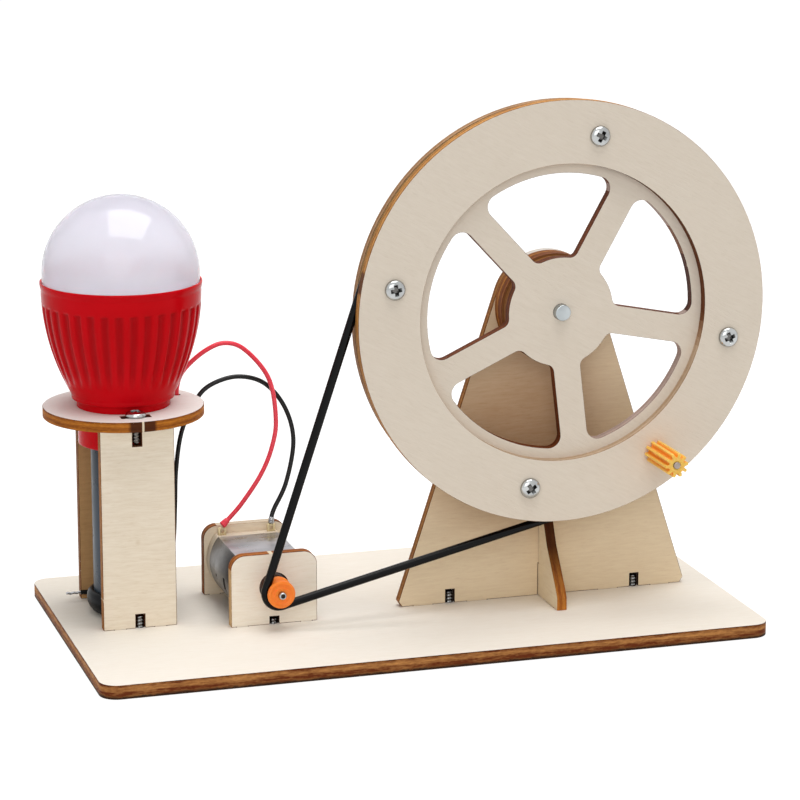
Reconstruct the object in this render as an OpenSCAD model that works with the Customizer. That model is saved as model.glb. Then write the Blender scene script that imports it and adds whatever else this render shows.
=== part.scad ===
// Hand crank generator: a laser-cut plywood wheel drives a small motor by a
// round belt, and the motor feeds a cell and lamp on a plywood table.
// Millimetres, +Z up, +Y to the back, origin at the middle of the base underside.

/* [Base] */
// Length of the base plate
base_w = 191.5; // [189:0.5:196]
// Depth of the base plate
base_d = 102.5; // [98:0.5:110]
// Thickness of the base plate
base_t = 3.9; // [3.6:0.1:4.3]
// Corner radius of the base plate
base_corner = 5; // [2:0.5:8]

/* [Plywood] */
// Thickness of every upright plate, ring and disc
ply_t = 2.9; // [2.8:0.1:3.2]
// Play of a tab in its slot, each side
tab_gap = 0.1; // [0.05:0.05:0.2]

/* [Stand] */
// Height of the wheel axle above the underside
axle_h = 90; // [88:0.5:94]
// Width of the stand plate at its foot
stand_w = 88.5; // [84:0.5:92]
// Radius of the stand plate's round top and of its boss discs
stand_top_r = 15.5; // [14:0.25:16.5]
// Reach of the cross fin each way from the stand plate
fin_reach = 17.8; // [15:0.2:20]
// Height of the cross fin above the base
fin_h = 30; // [26:1:34]

/* [Wheel] */
// Radius of the front ring
wheel_r = 60; // [58.5:0.25:61]
// Opening radius of both rings
ring_in_r = 42.2; // [41:0.2:43.4]
// Outer radius of the spoke windows
window_r = 39.3; // [38:0.1:40.5]
// Radius of the spoked hub
hub_r = 15.5; // [14.5:0.1:16.5]
// Width of a spoke
spoke_w = 8; // [6.5:0.25:9]
// Angle of the first spoke
wheel_turn = -11; // [-40:1:40]
// Radius on which the ring screws and the crank pin sit
bolt_r = 50.5; // [49.5:0.25:51.5]
// Axle diameter
axle_d = 4.6; // [4:0.2:6]

/* [Crank knob] */
// Outer diameter over the knob's teeth
knob_d = 7; // [6:0.2:8]
// Length of the knob
knob_len = 15.8; // [12:0.2:18]
// Number of teeth around the knob
knob_teeth = 10; // [8:1:12]

/* [Belt and pulley] */
// Belt diameter
belt_d = 2.4; // [2:0.1:2.4]
// Flange diameter of the motor pulley
pulley_d = 7.9; // [7.6:0.1:8.4]
// Length of the motor pulley
pulley_w = 5.4; // [5:0.1:5.8]

/* [Motor] */
// Diameter of the motor can across its round sides
can_d = 23.2; // [22.6:0.1:24]
// Height of the motor can across its flats
can_flat = 14.6; // [14.2:0.1:16]
// Length of the can without its end cap
can_len = 26.2; // [25:0.2:27]
// Height of the motor shaft above the underside
motor_h = 14.8; // [14.4:0.1:16]
// Width of the motor brackets
bracket_w = 24.9; // [24.4:0.1:27]
// Height of the motor brackets above the base
bracket_h = 20.6; // [19.8:0.1:23]

/* [Lamp] */
// Width of the two lamp posts
post_w = 20.9; // [19.4:0.1:22]
// Height of the lamp posts between base and table
post_h = 57.6; // [56:0.2:59]
// Radius of the round table
table_r = 22.6; // [22:0.1:24]
// Largest radius of the lamp cup
cup_r = 22.6; // [22:0.1:23.5]
// Height of the lamp cup above the table
cup_h = 35.4; // [34:0.2:38]
// Radius of the neck under the cup
neck_r = 12.8; // [12:0.1:13]
// Radius of the storage cell
cell_r = 9.4; // [8.8:0.1:9.6]

/* [Wires] */
// Diameter of the two insulated wires
wire_d = 1.35; // [1:0.05:1.5]

/* [Hidden] */
$fn = 96;
e = 0.5;
run = 0.05;
top = base_t;
// Stand plate, wheel stack and groove positions along Y
stand_x = base_w/2 - 52.35;
stand_mid = -4.95;
stand_f = stand_mid - ply_t/2;
stand_b = stand_mid + ply_t/2;
boss_f = stand_f - 2*ply_t;
hub_b = boss_f - 0.4;
spider_b = hub_b - ply_t;
spider_f = spider_b - ply_t;
wheel_f = spider_f - ply_t;
groove_y = spider_b - ply_t/2;
// The belt stays inside the groove between the two rings
belt_r = min(belt_d, ply_t - 0.45)/2;
belt_air = 0.25;
rear_ring_r = wheel_r - 0.6;
// Thread radius of every screw; the groove's floor stays outside the ring screws
screw_r = 1.3;
groove_r = max(wheel_r - 3.5, bolt_r + screw_r + 0.6);
win_r = min(window_r, ring_in_r - 1.2);
belt_wheel_r = groove_r + belt_air + belt_r;
pulley_root = 2.6;
belt_pulley_r = pulley_root + belt_air + belt_r;
axle_r = axle_d/2;
axle_end = stand_b + 7.6;
// Crank pin between two ring screws
pin_r = 1;
pin_a = wheel_turn - 45;
pin_x = stand_x + bolt_r*cos(pin_a);
pin_z = axle_h + bolt_r*sin(pin_a);
knob_b = wheel_f - 0.2;
knob_f = knob_b - knob_len;
// Motor between its brackets, set from the lamp end of the base
motor_x = 57.45 - base_w/2;
bracket_f = -11.2;
can_f = bracket_f + ply_t;
can_b = can_f + can_len;
cap_t = 3.5;
cap_b = can_b + cap_t;
wall = 0.8;
can_r = can_d/2;
half_flat = can_flat/2;
boss_r = 4;
shaft_r = 1;
shaft_f = groove_y - pulley_w/2 - 1.3;
shaft_b = cap_b + ply_t - 0.6;
bracket_top = top + bracket_h;
term_dx = 7.3;
term_y = can_b + 1.7;
term_top = max(motor_h + half_flat + 2.2, bracket_top - 0.3);
// Magnets and armature: distances from the can's ends, then radii
mag_in = 4;
mag_half = 4.6;
mag_bore = 6.9;
core_f = 6;
core_b = 7;
core_r = 6.3;
coil_t = 1.6;
coil_r = 5.2;
// Lamp axis, posts and table
lamp_x = 20.65 - base_w/2;
lamp_y = 13.4;
post_off = 16;
table_b = top + post_h;
table_t = table_b + ply_t;
neck_drop = 7.9;
cup_top = table_t + cup_h;
// The dome is a little more than half a ball: its radius, and its middle over the cup's rim
dome_r = cup_r - 0.6;
dome_lift = 1.9;
foot_r = cell_r + 2;
foot_t = 7;
seat_t = 2.5;
cell_b = top + seat_t;
cell_t = table_b - 1.5;
led_z = cup_top - 4;
board_t = 1.6;
chip_ring = 12;
chip_l = 3.5;
chip_w = 2.8;
chip_t = 0.7;
// Screws: head radius, height of a pan head, depth of a sunk head
head_r = 2.8;
pan_h = 1.7;
sink_h = 1.5;
slot_h = 4;
stand_screw = 28.3;
wire_r = wire_d/2;
// The cup's collar stays clear of the table screw's head
collar_r = min(neck_r + 0.4, post_off - head_r - 0.15);

// A cylinder along +Y from y0 to y1
module ycyl(x, z, y0, y1, r) {
  translate([x, y0, z]) rotate([-90, 0, 0]) cylinder(r = r, h = y1 - y0);
}

// A flat shape drawn in X and Z, cut from a plate whose faces are y0 and y1
module plate_xz(y0, y1) {
  translate([0, y1, 0]) rotate([90, 0, 0]) linear_extrude(y1 - y0) children();
}

// A rectangle with round corners at the top only
module round_top(w, h, r) {
  translate([-w/2, 0]) square([w, h - r]);
  translate([-w/2 + r, 0]) square([w - 2*r, h]);
  for (s = [-1, 1]) translate([s*(w/2 - r), h - r]) circle(r);
}

// Tabs under a plate, placed both sides of its middle, [start, end] each
module tabs(list, depth) {
  for (t = list, s = [-1, 1])
    translate([s > 0 ? t[0] : -t[1], -depth]) square([t[1] - t[0], depth + 0.01]);
}

post_tabs = [[4, 7.5]];
// The post's top tabs stand close to its screw, in one slot of the table
table_tabs = [[screw_r, screw_r + 2.7]];
bracket_tabs = [[7.6, 11]];
stand_tabs = [[17, 23.2], [33.4, 39.4]];
tab_d = base_t - 0.2;

// Slots for the tabs of one plate, cut through the base or the table
module tab_slots(x, y, list) {
  for (t = list, s = [-1, 1])
    translate([x + (s > 0 ? t[0] : -t[1]) - tab_gap, y - ply_t/2 - tab_gap, -e])
      cube([t[1] - t[0] + 2*tab_gap, ply_t + 2*tab_gap, base_t + 2*e]);
}

// Hole and countersink in the base for one screw
module sink(x, y) {
  translate([x, y, -e]) cylinder(r = screw_r, h = base_t + 2*e);
  translate([x, y, -0.01]) cylinder(r1 = head_r + 0.01, r2 = screw_r, h = sink_h + 0.01);
}

// Screw put in from below, flush with the underside
module base_screw(x, y, h) {
  color("silver") {
    translate([x, y, 0]) cylinder(r1 = head_r, r2 = screw_r, h = sink_h);
    translate([x, y, sink_h - 0.01]) cylinder(r = screw_r, h = top + h - sink_h + 0.01);
  }
}

bracket_r_y = cap_b + ply_t/2;
bracket_f_y = bracket_f + ply_t/2;
post_f_y = lamp_y - post_off;
post_r_y = lamp_y + post_off;

module base_plate() {
  color("burlywood") difference() {
    union() {
      translate([-base_w/2 + base_corner, -base_d/2, 0])
        cube([base_w - 2*base_corner, base_d, base_t]);
      translate([-base_w/2, -base_d/2 + base_corner, 0])
        cube([base_w, base_d - 2*base_corner, base_t]);
      for (sx = [-1, 1], sy = [-1, 1])
        translate([sx*(base_w/2 - base_corner), sy*(base_d/2 - base_corner), 0])
          cylinder(r = base_corner, h = base_t);
    }
    tab_slots(stand_x, stand_mid, stand_tabs);
    for (s = [-1, 1])
      translate([stand_x - ply_t/2 - tab_gap, stand_mid + s*11.5 - 3 - tab_gap, -e])
        cube([ply_t + 2*tab_gap, 6 + 2*tab_gap, base_t + 2*e]);
    for (y = [post_f_y, post_r_y]) tab_slots(lamp_x, y, post_tabs);
    for (y = [bracket_f_y, bracket_r_y]) tab_slots(motor_x, y, bracket_tabs);
    for (s = [-1, 1]) sink(stand_x + s*stand_screw, stand_mid);
    for (y = [post_f_y, post_r_y]) sink(lamp_x, y);
    for (y = [bracket_f_y, bracket_r_y]) sink(motor_x, y);
  }
}

// Stand plate outline: straight sides that run tangent to the round top
rise = axle_h - top;
foot = stand_w/2;
lean = atan2(foot, rise) - asin(stand_top_r/sqrt(foot*foot + rise*rise));
side_x = stand_top_r*cos(lean);
side_z = rise + stand_top_r*sin(lean);
foot_cut = 1.6;
lap_h = 9.6;

module stand_plate() {
  color("wheat") plate_xz(stand_f, stand_b) translate([stand_x, top]) difference() {
    union() {
      circle_at(0, rise, stand_top_r);
      polygon([[-foot + foot_cut, 0], [foot - foot_cut, 0],
               [foot - foot_cut*tan(lean), foot_cut], [side_x, side_z], [-side_x, side_z],
               [-foot + foot_cut*tan(lean), foot_cut]]);
      tabs(stand_tabs, tab_d);
    }
    circle_at(0, rise, axle_r + run);
    translate([-ply_t/2 - tab_gap, -e]) square([ply_t + 2*tab_gap, lap_h + e]);
    for (s = [-1, 1]) translate([s*stand_screw - screw_r, -e]) square([2*screw_r, slot_h + e]);
  }
}

module circle_at(x, z, r) {
  translate([x, z]) circle(r);
}

// Cross fin, lapped over the stand plate and tabbed into the base
module stand_fin() {
  color("wheat") translate([stand_x - ply_t/2, stand_mid, top]) rotate([90, 0, 90])
    linear_extrude(ply_t) difference() {
      union() {
        polygon([[-fin_reach, 0], [fin_reach, 0], [fin_reach, 3.6], [fin_reach*0.92, 6],
                 [fin_reach*0.48, fin_h*0.56], [fin_reach*0.32, fin_h*0.76], [fin_reach*0.22, fin_h],
                 [-fin_reach*0.22, fin_h], [-fin_reach*0.32, fin_h*0.76],
                 [-fin_reach*0.48, fin_h*0.56], [-fin_reach*0.92, 6], [-fin_reach, 3.6]]);
        for (s = [-1, 1]) translate([s*11.5 - 3, -tab_d]) square([6, tab_d + 0.01]);
      }
      translate([-ply_t/2 - tab_gap, lap_h]) square([ply_t + 2*tab_gap, fin_h]);
    }
}

module boss_disc(y0) {
  color("burlywood") plate_xz(y0, y0 + ply_t) difference() {
    circle_at(stand_x, axle_h, stand_top_r);
    circle_at(stand_x, axle_h, axle_r + run);
  }
}
module boss_disc_rear() {
  boss_disc(stand_f - ply_t);
}
module boss_disc_front() {
  boss_disc(boss_f);
}

// Upright lamp post with tabs at both ends and open slots for two screws
module lamp_post(y) {
  color("wheat") plate_xz(y - ply_t/2, y + ply_t/2) translate([lamp_x, top]) difference() {
    union() {
      translate([-post_w/2, 0]) square([post_w, post_h]);
      tabs(post_tabs, tab_d);
      translate([0, post_h]) mirror([0, 1]) tabs(table_tabs, ply_t);
    }
    translate([-screw_r, -e]) square([2*screw_r, slot_h + e]);
    translate([-screw_r, post_h - 5.2]) square([2*screw_r, 5.2 + e]);
  }
}
module lamp_post_front() {
  lamp_post(post_f_y);
}
module lamp_post_rear() {
  lamp_post(post_r_y);
}

red_hole = [16.9, 6.6];

module lamp_table() {
  color("wheat") difference() {
    translate([lamp_x, lamp_y, table_b]) cylinder(r = table_r, h = ply_t);
    translate([lamp_x, lamp_y, table_b - e]) cylinder(r = neck_r + 0.1, h = ply_t + 2*e);
    for (y = [post_f_y, post_r_y])
      translate([lamp_x - table_tabs[0][1] - tab_gap, y - ply_t/2 - tab_gap, table_b - e])
        cube([2*table_tabs[0][1] + 2*tab_gap, ply_t + 2*tab_gap, ply_t + 2*e]);
    translate([lamp_x + red_hole[0], lamp_y + red_hole[1], table_b - e])
      cylinder(r = wire_r + 0.25, h = ply_t + 2*e);
  }
}

// Outer radius of the cup at height h over the table, down to a short band over the collar
cup_0 = 3.6;
function cup_at(h) = cup_r - 0.3 - 7.8*pow((cup_h - 2 - h)/(cup_h - 2 - cup_0), 2.05);
cup_steps = 8;

module lamp_cup() {
  floor_z = 2.6;
  in_r = cup_r - 2.1;
  color("firebrick") translate([lamp_x, lamp_y, table_t]) rotate_extrude() polygon(concat(
    [[cell_r + 0.2, -ply_t - neck_drop], [neck_r, -ply_t - neck_drop], [neck_r, 0], [collar_r, 0],
     [collar_r, pan_h + 0.2], [cup_at(cup_0), pan_h + 0.5]],
    [for (i = [0:cup_steps]) let (h = cup_0 + (cup_h - 2 - cup_0)*i/cup_steps) [cup_at(h), h]],
    [[cup_r, cup_h - 1.6], [cup_r, cup_h], [in_r, cup_h], [in_r, cup_h - 4], [in_r - 1.5, cup_h - 4],
     [in_r - 1.5, cup_h - 8], [11, floor_z + 3], [2.2, floor_z], [2.2, 0], [cell_r + 0.2, 0]]));
}

module lamp_dome() {
  color("white") translate([lamp_x, lamp_y, cup_top]) difference() {
    translate([0, 0, dome_lift]) sphere(r = dome_r);
    translate([0, 0, dome_lift]) sphere(r = dome_r - 1.2);
    translate([0, 0, -dome_r]) cube([3*dome_r, 3*dome_r, 2*dome_r], center = true);
  }
}

module led_board() {
  color("gainsboro") translate([lamp_x, lamp_y, led_z]) cylinder(r = cup_r - 2.4, h = board_t);
}

module led_chips() {
  color("khaki") for (a = [0:60:300])
    translate([lamp_x + chip_ring*cos(a), lamp_y + chip_ring*sin(a), led_z + board_t]) rotate([0, 0, a])
      translate([-chip_l/2, -chip_w/2, 0]) cube([chip_l, chip_w, chip_t]);
}

module storage_cell() {
  color("slategray") translate([lamp_x, lamp_y, cell_b]) cylinder(r = cell_r, h = cell_t - cell_b);
}

module cell_button() {
  color("silver") translate([lamp_x, lamp_y, cell_t]) cylinder(r = 3, h = 1);
}

module cell_end_cup() {
  color("black") translate([lamp_x, lamp_y, top]) rotate_extrude() polygon(
    [[0, 0], [foot_r, 0], [foot_r, foot_t - 1.2], [foot_r - 0.4, foot_t - 0.4], [foot_r - 1.2, foot_t],
     [cell_r, foot_t], [cell_r, seat_t], [0, seat_t]]);
}

// Motor bracket with one round hole for the motor's boss
module motor_bracket(y0, hole_r) {
  color("wheat") plate_xz(y0, y0 + ply_t) translate([motor_x, top]) difference() {
    union() {
      round_top(bracket_w, bracket_h, 4);
      tabs(bracket_tabs, tab_d);
    }
    circle_at(0, motor_h - top, hole_r);
    translate([-screw_r, -e]) square([2*screw_r, 2.2 + e]);
  }
}
module motor_bracket_front() {
  motor_bracket(bracket_f, boss_r + 0.1);
}
module motor_bracket_rear() {
  motor_bracket(cap_b, boss_r + 0.1);
}

// Motor outline: a circle cut by two flats
module can_shape(r, half) {
  translate([motor_x, motor_h]) intersection() {
    circle(r);
    square([3*r, 2*half], center = true);
  }
}

module motor_can() {
  color("darkgray") difference() {
    union() {
      plate_xz(can_f, can_b) can_shape(can_r, half_flat);
      ycyl(motor_x, motor_h, can_f - 1.6, can_f + 0.01, boss_r);
    }
    plate_xz(can_f + wall, can_b + e) can_shape(can_r - wall, half_flat - wall);
    ycyl(motor_x, motor_h, can_f - 3, can_f + 2, 2.5);
  }
}

module motor_end_cap() {
  color("tan") difference() {
    union() {
      plate_xz(can_b, cap_b) can_shape(can_r, half_flat);
      ycyl(motor_x, motor_h, cap_b - 0.01, cap_b + 1.6, boss_r);
    }
    ycyl(motor_x, motor_h, can_b - e, cap_b + 2, 2.5);
    for (s = [-1, 1]) translate([motor_x + s*term_dx - 1.2, term_y - 0.3, motor_h + half_flat - 2.5])
      cube([2.4, 0.6, 5]);
  }
}

module terminal(s) {
  color("goldenrod") translate([motor_x + s*term_dx - 1.2, term_y - 0.3, motor_h + half_flat - 2.5])
    cube([2.4, 0.6, term_top - motor_h - half_flat + 2.5]);
}
module motor_terminal_red() {
  terminal(-1);
}
module motor_terminal_black() {
  terminal(1);
}

module motor_magnets() {
  color("dimgray") plate_xz(can_f + mag_in, can_b - mag_in) difference() {
    can_shape(can_r - wall, mag_half);
    circle_at(motor_x, motor_h, mag_bore);
  }
}

module motor_brushes() {
  color("goldenrod") for (s = [-1, 1])
    translate([motor_x + s*4.2 - 2, can_b - 2.2, motor_h - 1]) cube([4, 2.2, 2]);
}

module bearing(y0, y1) {
  color("peru") difference() {
    ycyl(motor_x, motor_h, y0, y1, 2.5);
    ycyl(motor_x, motor_h, y0 - e, y1 + e, shaft_r + run);
  }
}
module motor_bearing_front() {
  bearing(can_f - 1.6, can_f + wall);
}
module motor_bearing_rear() {
  bearing(can_b, cap_b + 1.6);
}

// Open belt around the wheel groove and the pulley groove
run_dx = stand_x - motor_x;
run_dz = axle_h - motor_h;
run_a = atan2(run_dz, run_dx);
run_b = asin((belt_wheel_r - belt_pulley_r)/sqrt(run_dx*run_dx + run_dz*run_dz));
up_a = run_a + 90 + run_b;
lo_a = run_a - 90 - run_b;
wheel_sweep = 180 + 2*run_b;
wheel_rings = 48;
pulley_rings = 14;
belt_path = concat(
  [for (i = [0:wheel_rings]) let (a = lo_a + wheel_sweep*i/wheel_rings)
    [stand_x + belt_wheel_r*cos(a), groove_y, axle_h + belt_wheel_r*sin(a)]],
  [for (i = [0:pulley_rings]) let (a = up_a + (360 - wheel_sweep)*i/pulley_rings)
    [motor_x + belt_pulley_r*cos(a), groove_y, motor_h + belt_pulley_r*sin(a)]]);

// Sweep of a round section along points, each ring square to the path
function unit(v) = v/norm(v);
function heading(p, i, loop) = let (n = len(p))
  unit(loop ? p[(i + 1)%n] - p[(i + n - 1)%n] : p[min(i + 1, n - 1)] - p[max(i - 1, 0)]);
function ring(c, t, r, sides) = let (u = unit(cross(t, [0, 1, 0])), v = cross(t, u))
  [for (j = [0:sides - 1]) c + r*(cos(360*j/sides)*u + sin(360*j/sides)*v)];
module sweep(p, r, sides, loop) {
  n = len(p);
  pts = [for (i = [0:n - 1]) each ring(p[i], heading(p, i, loop), r, sides)];
  skin = [for (i = [0:(loop ? n - 1 : n - 2)], j = [0:sides - 1]) let (k = (i + 1)%n, m = (j + 1)%sides)
    [i*sides + j, i*sides + m, k*sides + m, k*sides + j]];
  ends = loop ? [] : [[for (j = [sides - 1:-1:0]) j], [for (j = [0:sides - 1]) (n - 1)*sides + j]];
  polyhedron(pts, concat(skin, ends));
}

module drive_belt() {
  color("black") sweep(belt_path, belt_r, 10, true);
}

// Wire routes: a curve through hand-set points between motor, lamp and cell
function bend(a, b, c, d, t) = 0.5*((2*b) + (c - a)*t + (2*a - 5*b + 4*c - d)*t*t
  + (3*b - a - 3*c + d)*t*t*t);
function smooth(p, k) = let (n = len(p)) concat([for (i = [0:n - 2], s = [0:k - 1])
  bend(p[max(i - 1, 0)], p[i], p[i + 1], p[min(i + 2, n - 1)], s/k)], [p[n - 1]]);
term_z = term_top + wire_r;
neck_end = neck_r + 0.15;
red_path = [[motor_x - term_dx, term_y, term_top + 0.8*wire_r], [motor_x - 4.6, 20, term_top + 2.9],
  [motor_x - 1, 20, term_top + 6.9], [motor_x + 4.4, 20, 38.9], [motor_x + 7.7, 20, 46.5],
  [motor_x + 9.1, 20, 55], [motor_x + 7.1, 20, 67.2], [motor_x + 0.3, 20, 76],
  [motor_x - 5.7, 20, 78.5], [motor_x - 11.7, 20, 76.5],
  [lamp_x + 19, lamp_y + 6.6, table_t + 7], [lamp_x + red_hole[0], lamp_y + red_hole[1], table_t + 2],
  [lamp_x + red_hole[0], lamp_y + red_hole[1], table_b - 0.5],
  [lamp_x + 15.4, lamp_y + 6, table_b - 3], [lamp_x + 0.93*neck_end, lamp_y + 0.368*neck_end, table_b - 3.4]];
tip_at = [lamp_x - 10.9, lamp_y + 12.8, top + 2.5];
black_path = [[motor_x + term_dx, term_y, term_z], [motor_x + 8.3, 20.5, term_z + 3], [motor_x + 12.3, 21, 36],
  [motor_x + 14.8, 22, 48], [motor_x + 12.3, 22, 58], [motor_x + 6.3, 22, 65.5], [motor_x - 1.7, 22, 68],
  [motor_x - 9.7, 22, 66], [motor_x - 14.2, 22, 61.5], [motor_x - 18.2, 22, 53], [motor_x - 20, 22, 42],
  [motor_x - 20.5, 22, 31], [motor_x - 21.1, 22.2, 20], [motor_x - 22.5, 23.6, 11],
  [lamp_x + 10.1, 25.9, 7.2], [lamp_x, lamp_y + foot_r + 1.2, top + 2.5], tip_at];

module red_wire() {
  color("crimson") sweep(smooth(red_path, 3), wire_r, 8, false);
}
module black_wire() {
  color("black") sweep(smooth(black_path, 3), wire_r, 8, false);
}

// Tinned bare end of the black wire
module black_wire_tip() {
  color("silver") translate(tip_at) rotate([0, -90, 0]) cylinder(r = 0.4, h = 4.2);
}

module stand_screw_left() {
  base_screw(stand_x - stand_screw, stand_mid, slot_h);
}
module stand_screw_right() {
  base_screw(stand_x + stand_screw, stand_mid, slot_h);
}
module motor_screw_front() {
  base_screw(motor_x, bracket_f_y, 2.2);
}
module motor_screw_rear() {
  base_screw(motor_x, bracket_r_y, 2.2);
}
module post_screw_front() {
  base_screw(lamp_x, post_f_y, slot_h);
}
module post_screw_rear() {
  base_screw(lamp_x, post_r_y, slot_h);
}

// Pan-head screw down through the table into a post
module table_screw(y) {
  color("silver") {
    translate([lamp_x, y, table_b - 5]) cylinder(r = screw_r, h = ply_t + 5.01);
    translate([lamp_x, y, table_t]) rotate_extrude() polygon([[0, 0], [head_r, 0], [head_r, 0.8],
      [head_r - 0.5, 1.4], [head_r - 1.3, pan_h], [0, pan_h]]);
  }
}
module table_screw_front() {
  table_screw(post_f_y);
}
module table_screw_rear() {
  table_screw(post_r_y);
}

// Holes that go through every layer of the wheel rim
module rim_holes() {
  for (k = [0:3]) translate([stand_x, axle_h]) rotate(wheel_turn + 90*k) translate([bolt_r, 0])
    circle(screw_r);
  circle_at(pin_x, pin_z, pin_r + run);
}

module ring_plate(y0, r) {
  color("tan") plate_xz(y0, y0 + ply_t) difference() {
    circle_at(stand_x, axle_h, r);
    circle_at(stand_x, axle_h, ring_in_r);
    rim_holes();
  }
}
module wheel_front_ring() {
  ring_plate(wheel_f, wheel_r);
}
module wheel_rear_ring() {
  ring_plate(spider_b, rear_ring_r);
}

// One spoke window: a sector with four rounded corners, drawn along its edge
spokes = 5;
pitch_a = 360/spokes;
fil_o = 3.4;
fil_i = 2.4;
spoke_h = spoke_w/2;
out_c = [sqrt(pow(win_r - fil_o, 2) - pow(spoke_h + fil_o, 2)), spoke_h + fil_o];
in_c = [sqrt(pow(hub_r + fil_i, 2) - pow(spoke_h + fil_i, 2)), spoke_h + fil_i];
out_a = atan2(out_c[1], out_c[0]);
in_a = atan2(in_c[1], in_c[0]);
function across(p) = [p[0]*cos(pitch_a) + p[1]*sin(pitch_a), p[0]*sin(pitch_a) - p[1]*cos(pitch_a)];
function arc(c, r, a0, a1, i0, i1, n) = [for (i = [i0:i1]) let (a = a0 + (a1 - a0)*i/n)
  c + r*[cos(a), sin(a)]];
module window() {
  polygon(concat(
    arc(out_c, fil_o, -90, out_a, 0, 8, 8),
    arc([0, 0], win_r, out_a, pitch_a - out_a, 1, 13, 14),
    arc(across(out_c), fil_o, pitch_a - out_a, pitch_a + 90, 0, 8, 8),
    arc(across(in_c), fil_i, pitch_a + 90, pitch_a + 180 - in_a, 0, 6, 6),
    arc([0, 0], hub_r, pitch_a - in_a, in_a, 1, 5, 6),
    arc(in_c, fil_i, in_a + 180, 270, 0, 6, 6)));
}

module wheel_spider() {
  color("tan") plate_xz(spider_f, spider_b) difference() {
    circle_at(stand_x, axle_h, groove_r);
    translate([stand_x, axle_h]) for (k = [0:spokes - 1]) rotate(wheel_turn + pitch_a*k) window();
    circle_at(stand_x, axle_h, axle_r);
    rim_holes();
  }
}

module wheel_hub_disc() {
  color("burlywood") plate_xz(spider_b, hub_b) difference() {
    circle_at(stand_x, axle_h, hub_r - 0.5);
    circle_at(stand_x, axle_h, axle_r);
  }
}

// Pan-head screw through the front ring and spider into the rear ring
module ring_screw(k) {
  a = wheel_turn + 90*k;
  color("silver") translate([stand_x + bolt_r*cos(a), wheel_f, axle_h + bolt_r*sin(a)]) rotate([-90, 0, 0]) {
    translate([0, 0, -0.01]) cylinder(r = screw_r, h = 3*ply_t - 0.5);
    rotate_extrude() polygon([[0, 0], [head_r, 0], [head_r, -0.8], [head_r - 0.5, -1.4],
      [head_r - 1.3, -pan_h], [0, -pan_h]]);
  }
}
module ring_screw_1() {
  ring_screw(0);
}
module ring_screw_2() {
  ring_screw(1);
}
module ring_screw_3() {
  ring_screw(2);
}
module ring_screw_4() {
  ring_screw(3);
}

module wheel_axle() {
  color("silver") ycyl(stand_x, axle_h, wheel_f + 0.9, axle_end, axle_r);
}

// Retaining collar behind the stand plate
module axle_collar() {
  color("silver") difference() {
    ycyl(stand_x, axle_h, stand_b + 0.3, stand_b + 5.3, axle_r + 2.5);
    ycyl(stand_x, axle_h, stand_b, stand_b + 6, axle_r);
  }
}

// Toothed knob on the crank pin
module crank_knob() {
  ro = knob_d/2;
  ri = ro - 1.1;
  pitch = 360/knob_teeth;
  color("orange") plate_xz(knob_f, knob_b) translate([pin_x, pin_z]) difference() {
    polygon([for (k = [0:knob_teeth - 1]) each [for (q = [[ri, 0.02], [ri, 0.3], [ro, 0.46], [ro, 0.78], [ri, 0.94]])
      [q[0]*cos((k + q[1])*pitch), q[0]*sin((k + q[1])*pitch)]]]);
    circle(pin_r);
  }
}

module crank_pin() {
  color("silver") ycyl(pin_x, pin_z, knob_f - 0.3, hub_b + 2.6, pin_r);
}

// Small collar that keeps the pin in the wheel rim
module crank_pin_collar() {
  color("silver") difference() {
    ycyl(pin_x, pin_z, hub_b + 0.25, hub_b + 2.25, 2.2);
    ycyl(pin_x, pin_z, hub_b, hub_b + 3, pin_r);
  }
}

module motor_shaft() {
  color("silver") ycyl(motor_x, motor_h, shaft_f, shaft_b, shaft_r);
}

// Pulley with a groove that holds the round belt
module motor_pulley() {
  fl = pulley_d/2;
  mouth = belt_r + 0.25;
  color("darkorange") translate([motor_x, groove_y, motor_h]) rotate([-90, 0, 0]) rotate_extrude() polygon(
    [[shaft_r, -pulley_w/2], [fl - 0.3, -pulley_w/2], [fl, -pulley_w/2 + 0.3], [fl, -mouth],
     [pulley_root, -0.8], [pulley_root, 0.8], [fl, mouth], [fl, pulley_w/2 - 0.3],
     [fl - 0.3, pulley_w/2], [shaft_r, pulley_w/2]]);
}

// Three-pole armature stack
module armature_core() {
  color("gray") plate_xz(can_f + core_f, can_b - core_b) difference() {
    circle_at(motor_x, motor_h, core_r);
    circle_at(motor_x, motor_h, shaft_r);
    for (a = [0, 120, 240]) translate([motor_x, motor_h]) rotate(a) translate([core_r - 3.3, -0.9])
      square([core_r, 1.8]);
  }
}

module armature_windings() {
  color("chocolate") for (y = [can_f + core_f - coil_t, can_b - core_b]) difference() {
    ycyl(motor_x, motor_h, y, y + coil_t, coil_r);
    ycyl(motor_x, motor_h, y - e, y + coil_t + e, shaft_r);
  }
}

module commutator() {
  color("peru") difference() {
    ycyl(motor_x, motor_h, can_b - 5.2, can_b - 0.3, 2.1);
    ycyl(motor_x, motor_h, can_b - 6, can_b + 1, shaft_r);
  }
}

base_plate();
stand_plate();
stand_fin();
boss_disc_rear();
boss_disc_front();
lamp_post_front();
lamp_post_rear();
lamp_table();
lamp_cup();
lamp_dome();
led_board();
led_chips();
storage_cell();
cell_button();
cell_end_cup();
motor_bracket_front();
motor_bracket_rear();
motor_can();
motor_end_cap();
motor_terminal_red();
motor_terminal_black();
motor_magnets();
motor_brushes();
motor_bearing_front();
motor_bearing_rear();
drive_belt();
red_wire();
black_wire();
black_wire_tip();
stand_screw_left();
stand_screw_right();
motor_screw_front();
motor_screw_rear();
post_screw_front();
post_screw_rear();
table_screw_front();
table_screw_rear();
wheel_front_ring();
wheel_spider();
wheel_rear_ring();
wheel_hub_disc();
ring_screw_1();
ring_screw_2();
ring_screw_3();
ring_screw_4();
wheel_axle();
axle_collar();
crank_knob();
crank_pin();
crank_pin_collar();
motor_shaft();
motor_pulley();
armature_core();
armature_windings();
commutator();
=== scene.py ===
import math

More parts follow.
